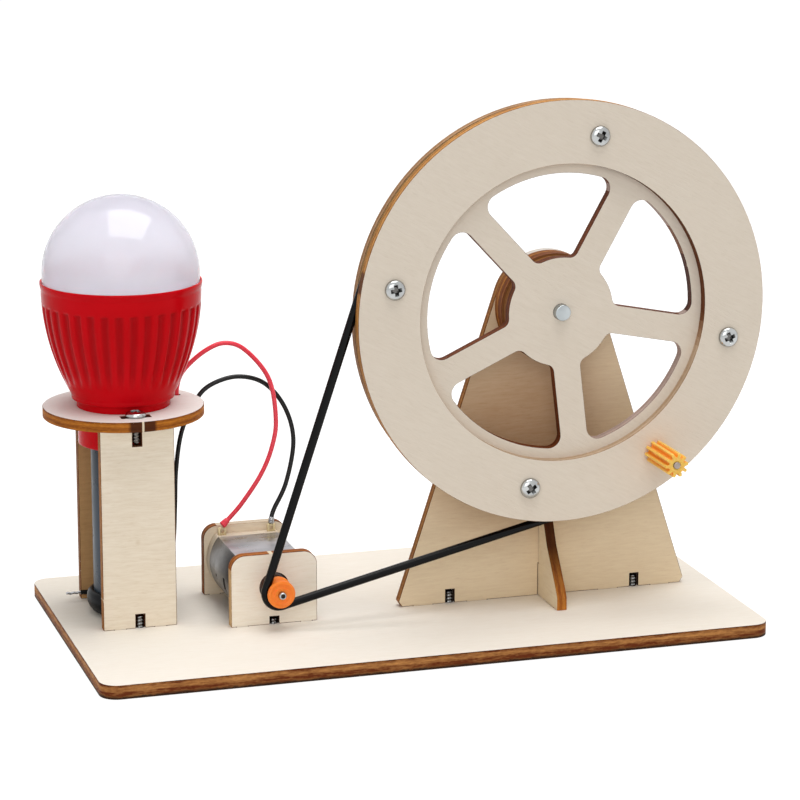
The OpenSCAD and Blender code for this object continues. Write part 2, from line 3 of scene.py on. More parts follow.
import bmesh
import bpy
from mathutils import Matrix, Vector


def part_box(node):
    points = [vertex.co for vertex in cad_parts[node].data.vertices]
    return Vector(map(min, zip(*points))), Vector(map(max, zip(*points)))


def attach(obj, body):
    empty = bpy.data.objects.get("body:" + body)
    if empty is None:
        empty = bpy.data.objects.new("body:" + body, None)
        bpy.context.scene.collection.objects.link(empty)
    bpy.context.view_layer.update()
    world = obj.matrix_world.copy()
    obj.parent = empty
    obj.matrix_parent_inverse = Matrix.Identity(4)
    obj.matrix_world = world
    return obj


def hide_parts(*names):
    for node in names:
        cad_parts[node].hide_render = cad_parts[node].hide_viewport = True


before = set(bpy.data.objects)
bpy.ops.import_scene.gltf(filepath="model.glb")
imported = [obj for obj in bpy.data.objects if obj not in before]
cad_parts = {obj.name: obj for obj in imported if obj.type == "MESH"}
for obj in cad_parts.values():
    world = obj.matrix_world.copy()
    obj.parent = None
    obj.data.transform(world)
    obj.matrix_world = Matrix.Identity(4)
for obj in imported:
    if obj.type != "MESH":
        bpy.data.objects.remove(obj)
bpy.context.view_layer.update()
scene = bpy.context.scene
scene.view_settings.view_transform = "Standard"

# View: a long lens on the crank side, left of the wheel and well above its axle.
# The directions are the camera's own axes, and the picture is 800 by 800 pixels.
PICTURE_PX, FOCAL_PX, SENSOR_MM = 800, 3035.2, 36.0
eye = Vector((-0.24590, -0.79992, 0.26326))
ahead = Vector((0.28786237, 0.92907030, -0.23230074))
across_view = Vector((0.95534671, -0.29547972, 0.00209613))
up_view = Vector((0.06669270, 0.22253115, 0.97264175))
lens = bpy.data.cameras.new("studio_lens")
lens.sensor_width = SENSOR_MM
lens.lens = FOCAL_PX * SENSOR_MM / PICTURE_PX
lens.clip_start, lens.clip_end = 0.01, 40.0
camera = bpy.data.objects.new("studio_camera", lens)
scene.collection.objects.link(camera)
camera.matrix_world = Matrix((
    (across_view.x, up_view.x, -ahead.x, eye.x),
    (across_view.y, up_view.y, -ahead.y, eye.y),
    (across_view.z, up_view.z, -ahead.z, eye.z),
    (0, 0, 0, 1)))
scene.camera = camera

# Two leads: thin stranded hook-up wire in soft insulation, bent by hand and soldered to the
# motor. The red one ends in the lamp's neck, the black one in bare strands beside the cell.
MM = 0.001
LEAD_R = 0.675 * MM


def tint(red, green, blue):
    """A colour as the eye reads it, 0 to 255, turned to the linear values of a shader."""
    def linear(v):
        v /= 255
        return v / 12.92 if v <= 0.04045 else ((v + 0.055) / 1.055) ** 2.4
    return (linear(red), linear(green), linear(blue), 1.0)


def add(tree, kind, links=None, **settings):
    """A node with its settings; a link is a socket to join or a plain value to set."""
    node = tree.nodes.new(kind)
    for key, value in settings.items():
        setattr(node, key, value)
    for key, value in (links or {}).items():
        if isinstance(value, bpy.types.NodeSocket):
            tree.links.new(value, node.inputs[key])
        else:
            node.inputs[key].default_value = value
    return node


def calc(tree, operation, *values):
    """A maths node on sockets or plain numbers."""
    return add(tree, "ShaderNodeMath", dict(enumerate(values)), operation=operation).outputs[0]


def ranged(tree, value, low=0.0, high=1.0, to_low=0.0, to_high=1.0, **settings):
    """Spreads a value from one range to another and holds it at both ends."""
    return add(tree, "ShaderNodeMapRange", {
        "Value": value, "From Min": low, "From Max": high, "To Min": to_low, "To Max": to_high},
        **settings).outputs[0]


def blend(tree, mask, first, second):
    """Mixes two colours by a mask."""
    return add(tree, "ShaderNodeMix", {0: mask, 6: first, 7: second}, data_type="RGBA").outputs[2]


def new_group(name, kind, inputs, outputs):
    """An empty node group with its named sockets: the tree, what comes in and what goes out."""
    tree = bpy.data.node_groups.new(name, kind)
    for label, socket, value in inputs:
        made = tree.interface.new_socket(label, in_out="INPUT", socket_type="NodeSocket" + socket)
        if value is not None:
            made.default_value = value
    for label, socket in outputs:
        tree.interface.new_socket(label, in_out="OUTPUT", socket_type="NodeSocket" + socket)
    return tree, tree.nodes.new("NodeGroupInput").outputs, tree.nodes.new("NodeGroupOutput").inputs


def deliver(tree, ends, values):
    """Joins sockets to the named ends of a group or a shader."""
    for key, value in values.items():
        tree.links.new(value, ends[key])


# Marks that every moulded or plated surface gets in use: cloudy tone, rubbed gloss, fine unevenness.
surface_marks, marks_in, marks_out = new_group(
    "surface_marks", "ShaderNodeTree", [("Vector", "Vector", None), ("Size", "Float", 400.0)],
    [("Tone", "Float"), ("Rub", "Float"), ("Height", "Float")])
for socket, share, detail in (("Tone", 0.15, 3.0), ("Rub", 0.6, 5.0), ("Height", 1.0, 4.0)):
    cloud = add(surface_marks, "ShaderNodeTexNoise", {
        "Vector": marks_in["Vector"], "Scale": calc(surface_marks, "MULTIPLY", marks_in["Size"], share),
        "Detail": detail, "Roughness": 0.6})
    deliver(surface_marks, marks_out, {socket: ranged(surface_marks, cloud.outputs[0], 0.3, 0.7)})


def surface(name, group, place_values, values):
    """A new material with one group of marks on its own coordinates: it, its tree and the marks."""
    material = bpy.data.materials.new(name)
    material.use_nodes = True
    tree = material.node_tree
    here = add(tree, "ShaderNodeTexCoord").outputs["Object"]
    where = add(tree, "ShaderNodeMapping", dict(place_values, Vector=here)).outputs[0]
    marks = add(tree, "ShaderNodeGroup", dict(values, Vector=where), node_tree=group)
    return material, tree, marks.outputs


def dress(tree, colour, rough, height, relief):
    """Joins a colour, a roughness and a relief in metres to a material's shader."""
    shader = tree.nodes["Principled BSDF"]
    bump = add(tree, "ShaderNodeBump", {"Height": height, "Distance": relief, "Strength": 1.0})
    deliver(tree, shader.inputs, {"Base Color": colour, "Roughness": rough, "Normal": bump.outputs[0]})
    return shader


def finish(name, low, high, rough, rub, size, relief, metallic=0.0, stretch=(1, 1, 1), hollow=None, **sockets):
    """A moulded or plated finish: two tones, a range of gloss and a fine relief.
    Its painted-shade tone darkens grooves and recesses where the piece marks them."""
    material, tree, marks = surface(name, surface_marks, {"Scale": stretch}, {"Size": size})
    colour = blend(tree, marks["Tone"], tint(*low), tint(*high))
    if hollow:
        groove = add(tree, "ShaderNodeAttribute", attribute_name="hollow").outputs["Fac"]
        colour = blend(tree, groove, colour, tint(*hollow))
    gloss = ranged(tree, marks["Rub"], 0.0, 1.0, rough, rough + rub)
    shader = dress(tree, colour, gloss, marks["Height"], relief)
    shader.inputs["Metallic"].default_value = metallic
    for key, value in sockets.items():
        shader.inputs[key.replace("_", " ")].default_value = value
    return material


def place(piece, finishes, body, slot, *nodes):
    """Links a piece or a mesh, gives it its finishes, and sets what it rides on and stands for."""
    if isinstance(piece, bpy.types.Mesh):
        piece = bpy.data.objects.new(piece.name, piece)
    scene.collection.objects.link(piece)
    for material in finishes:
        piece.data.materials.append(material)
    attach(piece, body)
    if nodes:
        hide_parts(*nodes)
    return piece


def lead_line(points, steps):
    """Points and half handles of a smooth curve through the route, in metres."""
    route = [Vector(p) * MM for p in points]
    line = []
    for i in range(len(route) - 1):
        a, b = route[max(i - 1, 0)], route[i]
        c, d = route[i + 1], route[min(i + 2, len(route) - 1)]
        for s in range(steps + (i == len(route) - 2)):
            t = s / steps
            at = 0.5 * (2*b + (c - a)*t + (2*a - 5*b + 4*c - d)*t*t + (3*b - a - 3*c + d)*t**3)
            slope = 0.5 * ((c - a) + 2*(2*a - 5*b + 4*c - d)*t + 3*(3*b - a - 3*c + d)*t*t)
            line.append((at, slope / (3 * steps)))
    return line


def lead(name, line, material, slot, node):
    """A wire: one open curve with a round section."""
    data = bpy.data.curves.new(name, "CURVE")
    data.dimensions = "3D"
    data.bevel_depth = LEAD_R
    data.bevel_resolution = 5
    data.resolution_u = 8
    data.use_fill_caps = True
    spline = data.splines.new("BEZIER")
    spline.bezier_points.add(len(line) - 1)
    for knot, (at, handle) in zip(spline.bezier_points, line):
        knot.co, knot.handle_left, knot.handle_right = at, at - handle, at + handle
    return place(bpy.data.objects.new(name, data), [material], "stand", slot, node)


def meshed(name, bm, sharp=35):
    """A mesh from a closed form, with faces outward and edges sharper than an angle kept crisp."""
    bmesh.ops.recalc_face_normals(bm, faces=bm.faces)
    mesh = bpy.data.meshes.new(name)
    bm.to_mesh(mesh)
    bm.free()
    return smoothed(mesh, sharp)


def smoothed(mesh, sharp):
    """Shades a mesh smooth, apart from the edges sharper than an angle."""
    mesh.polygons.foreach_set("use_smooth", [True] * len(mesh.polygons))
    mesh.set_sharp_from_angle(angle=math.radians(sharp))
    return mesh


def skin(bm, rings):
    """Joins rings of points into a closed tube with flat ends."""
    sides = len(rings[0])
    for low, high in zip(rings, rings[1:]):
        for j in range(sides):
            k = (j + 1) % sides
            bm.faces.new((low[j], low[k], high[k], high[j]))
    bm.faces.new(rings[0])
    bm.faces.new(rings[-1])


def across_path(path, i, side):
    """Two directions square to a path at one of its points."""
    way = (path[min(i + 1, len(path) - 1)] - path[max(i - 1, 0)]).normalized()
    u = way.cross(Vector(side)).normalized()
    return u, way.cross(u)


def tube(name, path, radii, sides=20):
    """A closed round tube along points, with its own radius at each."""
    bm = bmesh.new()
    rings = []
    for i, (p, r) in enumerate(zip(path, radii)):
        u, v = across_path(path, i, (0, 1, 0))
        rings.append([bm.verts.new(p + r*(math.cos(a)*u + math.sin(a)*v))
                      for a in (2*math.pi*j/sides for j in range(sides))])
    skin(bm, rings)
    return meshed(name, bm)


def strands(name, path, bundle, count, turns):
    """Bare strands twisted round a line of points, each a thin closed tube."""
    bm = bmesh.new()
    thin = bundle * 0.42
    reach = bundle - thin
    for k in range(count):
        line = []
        for i, p in enumerate(path):
            u, v = across_path(path, i, (0, 1, 0.3))
            a = 2*math.pi*(k/count + turns*i/(len(path) - 1))
            line.append(p + reach*(math.cos(a)*u + math.sin(a)*v))
        part = tube("strand", line, [thin*0.6] + [thin]*(len(line) - 2) + [thin*0.6], 8)
        bm.from_mesh(part)
        bpy.data.meshes.remove(part)
    return meshed(name, bm)


red_route = [(-45.6, 19.6, 24.84), (-42.9, 20, 27.2), (-39.3, 20, 31.2), (-33.9, 20, 38.9), (-30.6, 20, 46.5),
             (-29.2, 20, 55), (-31.2, 20, 67.2), (-38, 20, 76), (-44, 20, 78.5), (-50, 20, 76.5), (-56.1, 20, 71.4),
             (-58.2, 20, 66.4), (-58.2, 20, 61), (-59.7, 19.4, 58.5), (-63.0565, 18.1656, 58.1)]
black_route = [(-31, 19.6, 24.975), (-30, 20.5, 27.975), (-26, 21, 36), (-23.5, 22, 48), (-26, 22, 58),
               (-32, 22, 65.5), (-40, 22, 68), (-48, 22, 66), (-52.5, 22, 61.5), (-56.5, 22, 53),
               (-58.3, 22, 42), (-58.8, 22, 31), (-59.4, 22.2, 20), (-60.8, 23.6, 11), (-65, 25.9, 7.2),
               (-75.1, 26, 6.4), (-86, 26.2, 6.4)]
red_line = lead_line(red_route, 2)
black_line = lead_line(black_route, 2)
tinned = finish("tinned_strands", (150, 150, 152), (205, 206, 208), 0.22, 0.2, 900, 4e-6, metallic=1.0)
red_vinyl = finish("red_vinyl", (236, 50, 70), (250, 76, 94), 0.26, 0.12, 500, 6e-6, Specular_IOR_Level=0.35)
black_vinyl = finish("black_vinyl", (7, 7, 8), (16, 16, 17), 0.22, 0.14, 500, 6e-6, Specular_IOR_Level=0.3)
red_lead = lead("red_lead", red_line, red_vinyl, "red_insulation", "red_wire")
cuff_path = [red_line[0][0].lerp(red_line[2][0], t) for t in (0.0, 0.08, 0.22, 0.45, 0.6, 0.68)]
red_cuff = place(tube("red_lead_cuff", cuff_path, [r*MM for r in (0.78, 1.1, 1.06, 0.92, 0.86, 0.7)]),
                 [red_vinyl], "stand", "red_insulation")
black_lead = lead("black_lead", black_line, black_vinyl, "black_insulation", "black_wire")
tip_start = black_line[-1][0]
tip_path = [tip_start + Vector((-4.2*MM*t/16, 0, 0.1*MM*math.sin(t))) for t in range(17)]
black_tip = place(strands("black_lead_strands", tip_path, 0.4*MM, 5, 1.6), [tinned], "stand", "steel",
                  "black_wire_tip")
root_path = [black_line[0][0].lerp(black_line[1][0], t/10) - Vector((0, 0, 0.6*MM*(1 - t/10))) for t in range(11)]
black_root = place(strands("black_lead_root", root_path, 0.85*MM, 7, 0.8), [tinned], "stand", "steel")

# Studio: a pale floor and plain soft light. One wide softbox hangs overhead, a weaker one
# stands in front, and the white surround fills the shadows.
FLOOR_HALF, FLOOR_DROP = 4.0, 0.0003
floor_bm = bmesh.new()
bmesh.ops.create_grid(floor_bm, x_segments=4, y_segments=4, size=FLOOR_HALF)
floor_mesh = bpy.data.meshes.new("studio_floor")
floor_bm.to_mesh(floor_mesh)
floor_bm.free()
floor_mesh.transform(Matrix.Translation((0, 0, -FLOOR_DROP)))
floor = bpy.data.objects.new("studio_floor", floor_mesh)
scene.collection.objects.link(floor)


def seen_directly(tree):
    """One for rays from the lens, a mirror or glass, and none for the light that fills."""
    path = add(tree, "ShaderNodeLightPath").outputs
    first = calc(tree, "MAXIMUM", path["Is Camera Ray"], path["Is Glossy Ray"])
    return calc(tree, "MAXIMUM", first, path["Is Transmission Ray"])


def two_faced(tree, end, fills, seen):
    """Ends a tree with one shader for the light that fills and another for what is seen."""
    mix = add(tree, "ShaderNodeMixShader", {0: seen_directly(tree), 1: fills, 2: seen})
    tree.links.new(mix.outputs[0], tree.nodes[end].inputs["Surface"])


floor_paint = bpy.data.materials.new("studio_floor_paint")
floor_paint.use_nodes = True
paint = floor_paint.node_tree
paint.nodes.remove(paint.nodes["Principled BSDF"])
plain_floor = add(paint, "ShaderNodeBsdfDiffuse", {"Color": (0.72, 0.72, 0.72, 1)})
white_floor = add(paint, "ShaderNodeAddShader", {
    0: add(paint, "ShaderNodeBsdfDiffuse", {"Color": (0.36, 0.36, 0.36, 1)}).outputs[0],
    1: add(paint, "ShaderNodeEmission", {"Color": (1, 1, 1, 1), "Strength": 0.87}).outputs[0]})
two_faced(paint, "Material Output", plain_floor.outputs[0], white_floor.outputs[0])
floor_mesh.materials.append(floor_paint)

surround = bpy.data.worlds.new("studio_surround")
surround.use_nodes = True
air = surround.node_tree
fill_light = add(air, "ShaderNodeBackground", {"Color": (1.0, 0.985, 0.96, 1), "Strength": 0.42})
white_wall = add(air, "ShaderNodeBackground", {"Color": (1, 1, 1, 1), "Strength": 1.0})
two_faced(air, "World Output", fill_light.outputs[0], white_wall.outputs[0])
scene.world = surround


def softbox(name, at, aim, wide, deep, watts):
    """A rectangular soft light at a point, turned to another."""
    lamp = bpy.data.lights.new(name, "AREA")
    lamp.shape = "RECTANGLE"
    lamp.size, lamp.size_y, lamp.energy = wide, deep, watts
    box = bpy.data.objects.new(name, lamp)
    scene.collection.objects.link(box)
    box.location = at
    box.rotation_mode = "QUATERNION"
    box.rotation_quaternion = (Vector(aim) - Vector(at)).to_track_quat("-Z", "Y")


softbox("overhead_softbox", (0.08, -0.02, 1.02), (0.0, 0.0, 0.0), 0.9, 0.75, 8.2)
softbox("front_softbox", (-0.5, -1.5, 0.75), (0.0, 0.0, 0.06), 1.2, 0.9, 5.5)

# Base plate: thick plywood with rounded corners, laser cut, sanded on top and darker
# along its lower edge, partly from char and partly as a painted contact shadow. Every other plate is tabbed and
# screwed into it.
ARRIS = 0.16 * MM
VENEER_RELIEF, EDGE_RELIEF = 2.2e-5, 6e-5
NO_STAIN_AND_SHADE, NO_NICK = (9, 9, 9), (99, 99, 0)
rows_of = {
    "x": Matrix(((0, 1, 0), (0, 0, 1), (1, 0, 0))),
    "y": Matrix(((1, 0, 0), (0, 0, 1), (0, -1, 0))),
    "z": Matrix(((1, 0, 0), (0, 1, 0), (0, 0, 1)))}


def maths(tree):
    """Sums for one tree, each on two values or more in turn."""
    def maker(operation):
        def chain(first, *rest):
            for value in rest:
                first = calc(tree, operation, first, value)
            return first
        return chain
    return [maker(operation) for operation in ("ADD", "SUBTRACT", "MULTIPLY", "DIVIDE", "MAXIMUM")]


def vectors(tree, operation, *values):
    """A vector maths node on sockets or plain vectors."""
    made = add(tree, "ShaderNodeVectorMath", dict(enumerate(values)), operation=operation)
    return made.outputs["Value" if operation == "DISTANCE" else 0]


def stretched_noise(tree, vector, scale, detail, rough=0.55):
    """Noise drawn out along one way of its vector, spread to the range from 0 to 1."""
    drawn = add(tree, "ShaderNodeMapping", {"Vector": vector, "Scale": scale})
    cloud = add(tree, "ShaderNodeTexNoise", {
        "Vector": drawn.outputs[0], "Scale": 1.0, "Detail": detail, "Roughness": rough})
    return ranged(tree, cloud.outputs[0], 0.28, 0.72)


# Sanded veneer: fine wavy grain lines along X of its vector, short pores, a cloudy tone, and
# one soft darker patch where a plate has it: a real stain on the front post, painted shade behind the wheel on the
# upright.
veneer, veneer_in, veneer_out = new_group(
    "birch_veneer", "ShaderNodeTree",
    [("Vector", "Vector", None), ("Pale", "Color", None), ("Deep", "Color", None), ("Grain", "Float", 0.5),
     ("Stain", "Vector", NO_STAIN_AND_SHADE), ("Stain Size", "Float", 0.001), ("Stain Depth", "Float", 0.3)],
    [("Color", "Color"), ("Height", "Float"), ("Rough", "Float")])
plus, minus, times, over, larger = maths(veneer)
wander = add(veneer, "ShaderNodeTexNoise", {"Vector": veneer_in["Vector"], "Scale": 55.0, "Detail": 2.0})
sway = vectors(veneer, "MULTIPLY", wander.outputs[1], (0.0, 0.0022, 0.0))
bent = vectors(veneer, "ADD", veneer_in["Vector"], sway)
lines = stretched_noise(veneer, bent, (190, 1500, 190), 3.0)
wide_lines = stretched_noise(veneer, bent, (30, 260, 30), 2.0)
pores = ranged(veneer, stretched_noise(veneer, bent, (420, 3400, 420), 2.0), 0.62, 0.95)
clouds = stretched_noise(veneer, veneer_in["Vector"], (26, 40, 26), 3.0)
figure = plus(times(lines, 0.55), times(wide_lines, 0.12), times(clouds, 0.14))
stain_and_shade_far = over(vectors(veneer, "DISTANCE", veneer_in["Vector"], veneer_in["Stain"]), veneer_in["Stain Size"])
stain_and_shade = ranged(veneer, stain_and_shade_far, 0.1, 1.0, veneer_in["Stain Depth"], 0.0, interpolation_type="SMOOTHSTEP")
dark_share = plus(times(figure, veneer_in["Grain"]), times(pores, 0.35, veneer_in["Grain"]), stain_and_shade)
deliver(veneer, veneer_out, {
    "Color": blend(veneer, dark_share, veneer_in["Pale"], veneer_in["Deep"]),
    "Height": minus(times(lines, 0.5), pores), "Rough": ranged(veneer, clouds, 0.0, 1.0, 0.55, 0.75)})

# Laser-cut edge: the plies and the beam's streaks run along it, its arrises are charred and
# jagged, and here and there a pale chip shows where the sheet broke out of its frame.
scorch, scorch_in, scorch_out = new_group(
    "laser_scorch", "ShaderNodeTree",
    [("Vector", "Vector", None), ("Glow", "Color", None), ("Brown", "Color", None), ("Char", "Color", None),
     ("Burn", "Float", 0.5), ("Low Band", "Float", 0.0), ("Nick", "Vector", NO_NICK),
     ("Nick Size", "Float", 0.1), ("Nick Burn", "Float", 1.4), ("Nick Soft", "Float", 0.8)],
    [("Color", "Color"), ("Height", "Float"), ("Rough", "Float")])
plus, minus, times, over, larger = maths(scorch)
edge_at = scorch_in["Vector"]
level = add(scorch, "ShaderNodeSeparateXYZ", {0: edge_at}).outputs[2]
streaks = stretched_noise(scorch, edge_at, (0.7, 0.7, 8.0), 4.0)
flecks = stretched_noise(scorch, edge_at, (3.0, 3.0, 9.0), 3.0)
patches = stretched_noise(scorch, edge_at, (0.22, 0.22, 0.3), 2.0)
along_plies = add(scorch, "ShaderNodeMapping", {"Vector": edge_at, "Scale": (0.02, 0.02, 1.0)}).outputs[0]
plies = add(scorch, "ShaderNodeTexWave", {
    "Vector": along_plies, "Scale": 0.46, "Distortion": 0.5, "Detail": 2.0, "Detail Scale": 3.0},
    bands_direction="Z").outputs[1]
burnt = minus(plus(times(streaks, 0.42), times(flecks, 0.3), times(plies, 0.42)), 0.5)
burnt = ranged(scorch, plus(burnt, times(patches, 0.25), scorch_in["Burn"]), 0.15, 0.95)
ragged = plus(level, times(minus(flecks, 0.5), 0.12))
arris = ranged(scorch, calc(scorch, "ABSOLUTE", minus(ragged, 0.5)), 0.42, 0.5, 0.0, 0.6)
# A band along the lowest part of an edge is darkened where a plate asks for it: char, and on the base a painted
# contact shadow.
low_edge = times(ranged(scorch, ragged, 0.12, 0.26, 1.0, 0.0), scorch_in["Low Band"])
chips = times(ranged(scorch, stretched_noise(scorch, edge_at, (1.3, 1.3, 0.8), 3.0, 0.7), 0.86, 0.94), arris)
nick_far = vectors(scorch, "DISTANCE", vectors(scorch, "MULTIPLY", edge_at, (1, 1, 0)), scorch_in["Nick"])
nick = ranged(scorch, over(nick_far, scorch_in["Nick Size"]), 0.7, 1.3, 1.0, 0.0)
# Round a chip the edge is burnt darker; on the fin the same mark paints shade under the wheel.
nick_burn_and_shade = ranged(scorch, over(nick_far, scorch_in["Nick Burn"]), scorch_in["Nick Soft"], 1.05, 0.93, 0.0)
edge_colour = blend(scorch, burnt, scorch_in["Glow"], scorch_in["Brown"])
edge_colour = blend(scorch, larger(arris, low_edge, nick_burn_and_shade), edge_colour, scorch_in["Char"])
edge_colour = blend(scorch, larger(chips, nick), edge_colour, tint(236, 220, 192))
deliver(scorch, scorch_out, {
    "Color": edge_colour, "Height": plus(streaks, times(flecks, 0.5)),
    "Rough": ranged(scorch, flecks, 0.0, 1.0, 0.5, 0.72)})


def wood_material(name, group, place_values, values, relief):
    """One wooden surface: a group of this section on its own turned and shifted coordinates."""
    material, tree, wood = surface(name, group, place_values, values)
    shader = dress(tree, wood["Color"], wood["Rough"], wood["Height"], relief)
    shader.inputs["Specular IOR Level"].default_value = 0.1
    return material


def cad_form(node):
    """A merged copy of a CAD solid with its flat faces joined."""
    bm = bmesh.new()
    bm.from_mesh(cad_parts[node].data)
    bmesh.ops.remove_doubles(bm, verts=bm.verts, dist=1e-6)
    bmesh.ops.dissolve_limit(bm, angle_limit=math.radians(0.5), verts=bm.verts, edges=bm.edges)
    return bm


def ease(bm, width, angle=35, segments=1, index=0):
    """Takes the sharp edges off a form."""
    edges = [e for e in bm.edges if len(e.link_faces) == 2 and e.calc_face_angle() > math.radians(angle)]
    bmesh.ops.bevel(bm, geom=edges, offset=width, offset_type="OFFSET", segments=segments, profile=0.5,
                    affect="EDGES", clamp_overlap=True, material=index)


def burn_values(glow, brown, char, burn):
    """The tones of a cut edge, from the least burnt to the most, and how far it is burnt."""
    return {"Glow": tint(*glow), "Brown": tint(*brown), "Char": tint(*char), "Burn": burn}


def plate(name, node, body, axis, pale=(236, 226, 208), deep=(206, 186, 154), grain=0.5, turn=0.0,
          shift=(0, 0, 0), glow=(206, 146, 72), brown=(132, 82, 38), char=(62, 34, 18), burn=0.5, low_band=0.0,
          nick=None, nick_size=0.1, nick_burn_and_shade=1.4, nick_soft=0.8, stain_and_shade=None, stain_and_shade_size=1.0, stain_and_shade_depth=0.3,
          arris=ARRIS, back=None, others=()):
    """One laser-cut plywood plate: veneer on its faces, scorch on its cut edges and arrises.
    back is another veneer for one face, others are scorches for the edges that pass their tests."""
    low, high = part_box(node)
    rows = rows_of[axis]
    ends = sorted(((rows @ low).z, (rows @ high).z))
    thick = 1 / (ends[1] - ends[0])
    turned = Matrix.Rotation(math.radians(turn), 3, "Z") @ rows
    on_face = {"Rotation": turned.to_euler(), "Location": shift}
    on_edge = {"Rotation": rows.to_euler(), "Scale": (thick, thick, thick), "Location": (0, 0, -ends[0]*thick)}
    stain_and_shade_at = tuple(turned @ (Vector(stain_and_shade)*MM) + Vector(shift)) if stain_and_shade else NO_STAIN_AND_SHADE
    nick_at = (*(rows @ (Vector(nick)*MM*thick)).xy, 0) if nick else NO_NICK
    face_values = {"Pale": tint(*pale), "Deep": tint(*deep), "Grain": grain, "Stain": stain_and_shade_at,
                   "Stain Size": stain_and_shade_size*MM, "Stain Depth": stain_and_shade_depth}
    edge_values = {"Low Band": low_band, "Nick": nick_at, "Nick Size": nick_size, "Nick Burn": nick_burn_and_shade,
                   "Nick Soft": nick_soft, **burn_values(glow, brown, char, burn)}
    finishes = [wood_material(name + "_veneer", veneer, on_face, face_values, VENEER_RELIEF),
                wood_material(name + "_edge", scorch, on_edge, edge_values, EDGE_RELIEF)]
    if back:
        back_values = dict(face_values, Pale=tint(*back[0]), Deep=tint(*back[1]))
        finishes.append(wood_material(name + "_back", veneer, on_face, back_values, VENEER_RELIEF))
    bm = cad_form(node)
    for face in bm.faces:
        facing = face.normal.dot(rows.row[2])
        face.material_index = 1 if abs(facing) < 0.9 else 2 if back and facing * back[2] > 0 else 0
    ease(bm, arris, index=1)
    for k, (test, *burns) in enumerate(others):
        other_values = dict(edge_values, **burn_values(*burns))
        finishes.append(wood_material(f"{name}_edge_{k + 2}", scorch, on_edge, other_values, EDGE_RELIEF))
        for face in bm.faces:
            if face.material_index == 1 and test(face.calc_center_median()/MM):
                face.material_index = len(finishes) - 1
    return place(meshed(name, bm, 20), finishes, body, "plywood", node)


plate("base_board", "base_plate", "stand", "z", pale=(246, 240, 230), deep=(229, 217, 199), grain=0.36, turn=2,
      shift=(0.31, 0.12, 0), glow=(218, 154, 88), brown=(106, 48, 18), char=(30, 16, 12), burn=0.5, low_band=0.95)

# Stand: an upright plate with a round top, tabbed and screwed into the base, and a cross fin
# that laps over it and braces it. The slots for its screws are burnt, and painted almost black as painted shade.
wheel_x, wheel_z = 43.4, 90.0
STAND_SCREW_OUT, SLOT_HALF, SLOT_TOP = 28.3, 1.6, 9.0


def from_axle(p):
    """Distance of a point from the wheel's axis, in millimetres."""
    return math.hypot(p.x - wheel_x, p.z - wheel_z)


def round_axle(p):
    """Angle of a point round the wheel's axis, in degrees up from the right."""
    return math.degrees(math.atan2(p.z - wheel_z, p.x - wheel_x))


# The upright's face is painted darker and browner round a point behind the lower wheel, as painted shade cast by the
# wheel.
plate("stand_upright", "stand_plate", "stand", "y", pale=(242, 223, 191), deep=(172, 118, 70), grain=0.2,
      turn=-1, shift=(0.7, 0.2, 0), burn=0.62, stain_and_shade=(35, -6.4, 54), stain_and_shade_size=44, stain_and_shade_depth=0.56,
      # Painted highlight: the upright's top edge round the axle is painted pale grey, as rim light from behind.
      others=[(lambda p: from_axle(p) < 17 and p.z > 102.5, (236, 232, 228), (214, 204, 192), (190, 172, 152), 0.3),
              # Painted shade: the screw slots' walls are burnt and painted darker still, almost black.
              (lambda p: p.z < SLOT_TOP and abs(abs(p.x - wheel_x) - STAND_SCREW_OUT) < SLOT_HALF,
               (70, 38, 22), (44, 22, 14), (24, 12, 8), 0.7)])
# The fin's front edge is painted near black round its upper corner under the wheel, fading downwards, as painted
# shade.
plate("stand_brace", "stand_fin", "stand", "x", pale=(242, 228, 200), deep=(206, 178, 136), grain=0.4,
      turn=2, shift=(0.1, 0.9, 0), glow=(238, 156, 66), brown=(168, 90, 34), char=(46, 9, 2), burn=0.36,
      nick=(wheel_x, -12.5, 28), nick_size=0.01, nick_burn_and_shade=10.5, nick_soft=0.25)

# Boss: two plywood discs glued in front of the upright, so that the wheel runs clear of it.
# Their rims are burnt dark, with the plies showing as lines.
for end, offset, dark in (("rear", 0.2, 0.5), ("front", 0.5, 0.75)):
    plate("boss_" + end, "boss_disc_" + end, "stand", "y", pale=(150, 100, 58), deep=(104, 62, 34), turn=40,
          shift=(offset, 0.4, 0), glow=(212, 142, 62), brown=(118, 62, 26), char=(54, 24, 10), burn=dark,
          arris=0.06*MM)

# Motor brackets: two short plywood plates that hold the motor by its bosses. The hole at the
# front is burnt and painted almost black, partly as painted shade, and each plate has one screw in an open slot.
motor_x, motor_z = -38.3, 14.8
plate("bracket_front", "motor_bracket_front", "stand", "y", pale=(255, 247, 233), deep=(230, 212, 184), grain=0.4,
      turn=-2, shift=(0.33, 0.61, 0), glow=(198, 120, 52), brown=(130, 70, 28), burn=0.45,
      nick=(-39.1, -9.7, 24.5), nick_size=0.2, nick_burn_and_shade=0.01,
      # Painted shade: the hole's and the slot's walls are burnt and painted darker still, almost black.
      others=[(lambda p: (math.hypot(p.x - motor_x, p.z - motor_z) < 6
                          or abs(p.x - motor_x) < SLOT_HALF and p.z < SLOT_TOP),
               (78, 40, 24), (50, 26, 16), (26, 14, 9), 0.8),
              (lambda p: p.x < -50.4 and p.z < 18, (228, 196, 148), (182, 132, 82), (98, 58, 30), 0.3)])
plate("bracket_rear", "motor_bracket_rear", "stand", "y", pale=(246, 233, 211), deep=(216, 194, 162), grain=0.45,
      turn=1, shift=(0.83, 0.17, 0), glow=(186, 112, 50), brown=(112, 62, 28), burn=0.55,
      others=[(lambda p: p.z > 24 and abs(p.x + 39) < 7, (226, 212, 190), (208, 190, 162), (190, 160, 124), 0.2)])

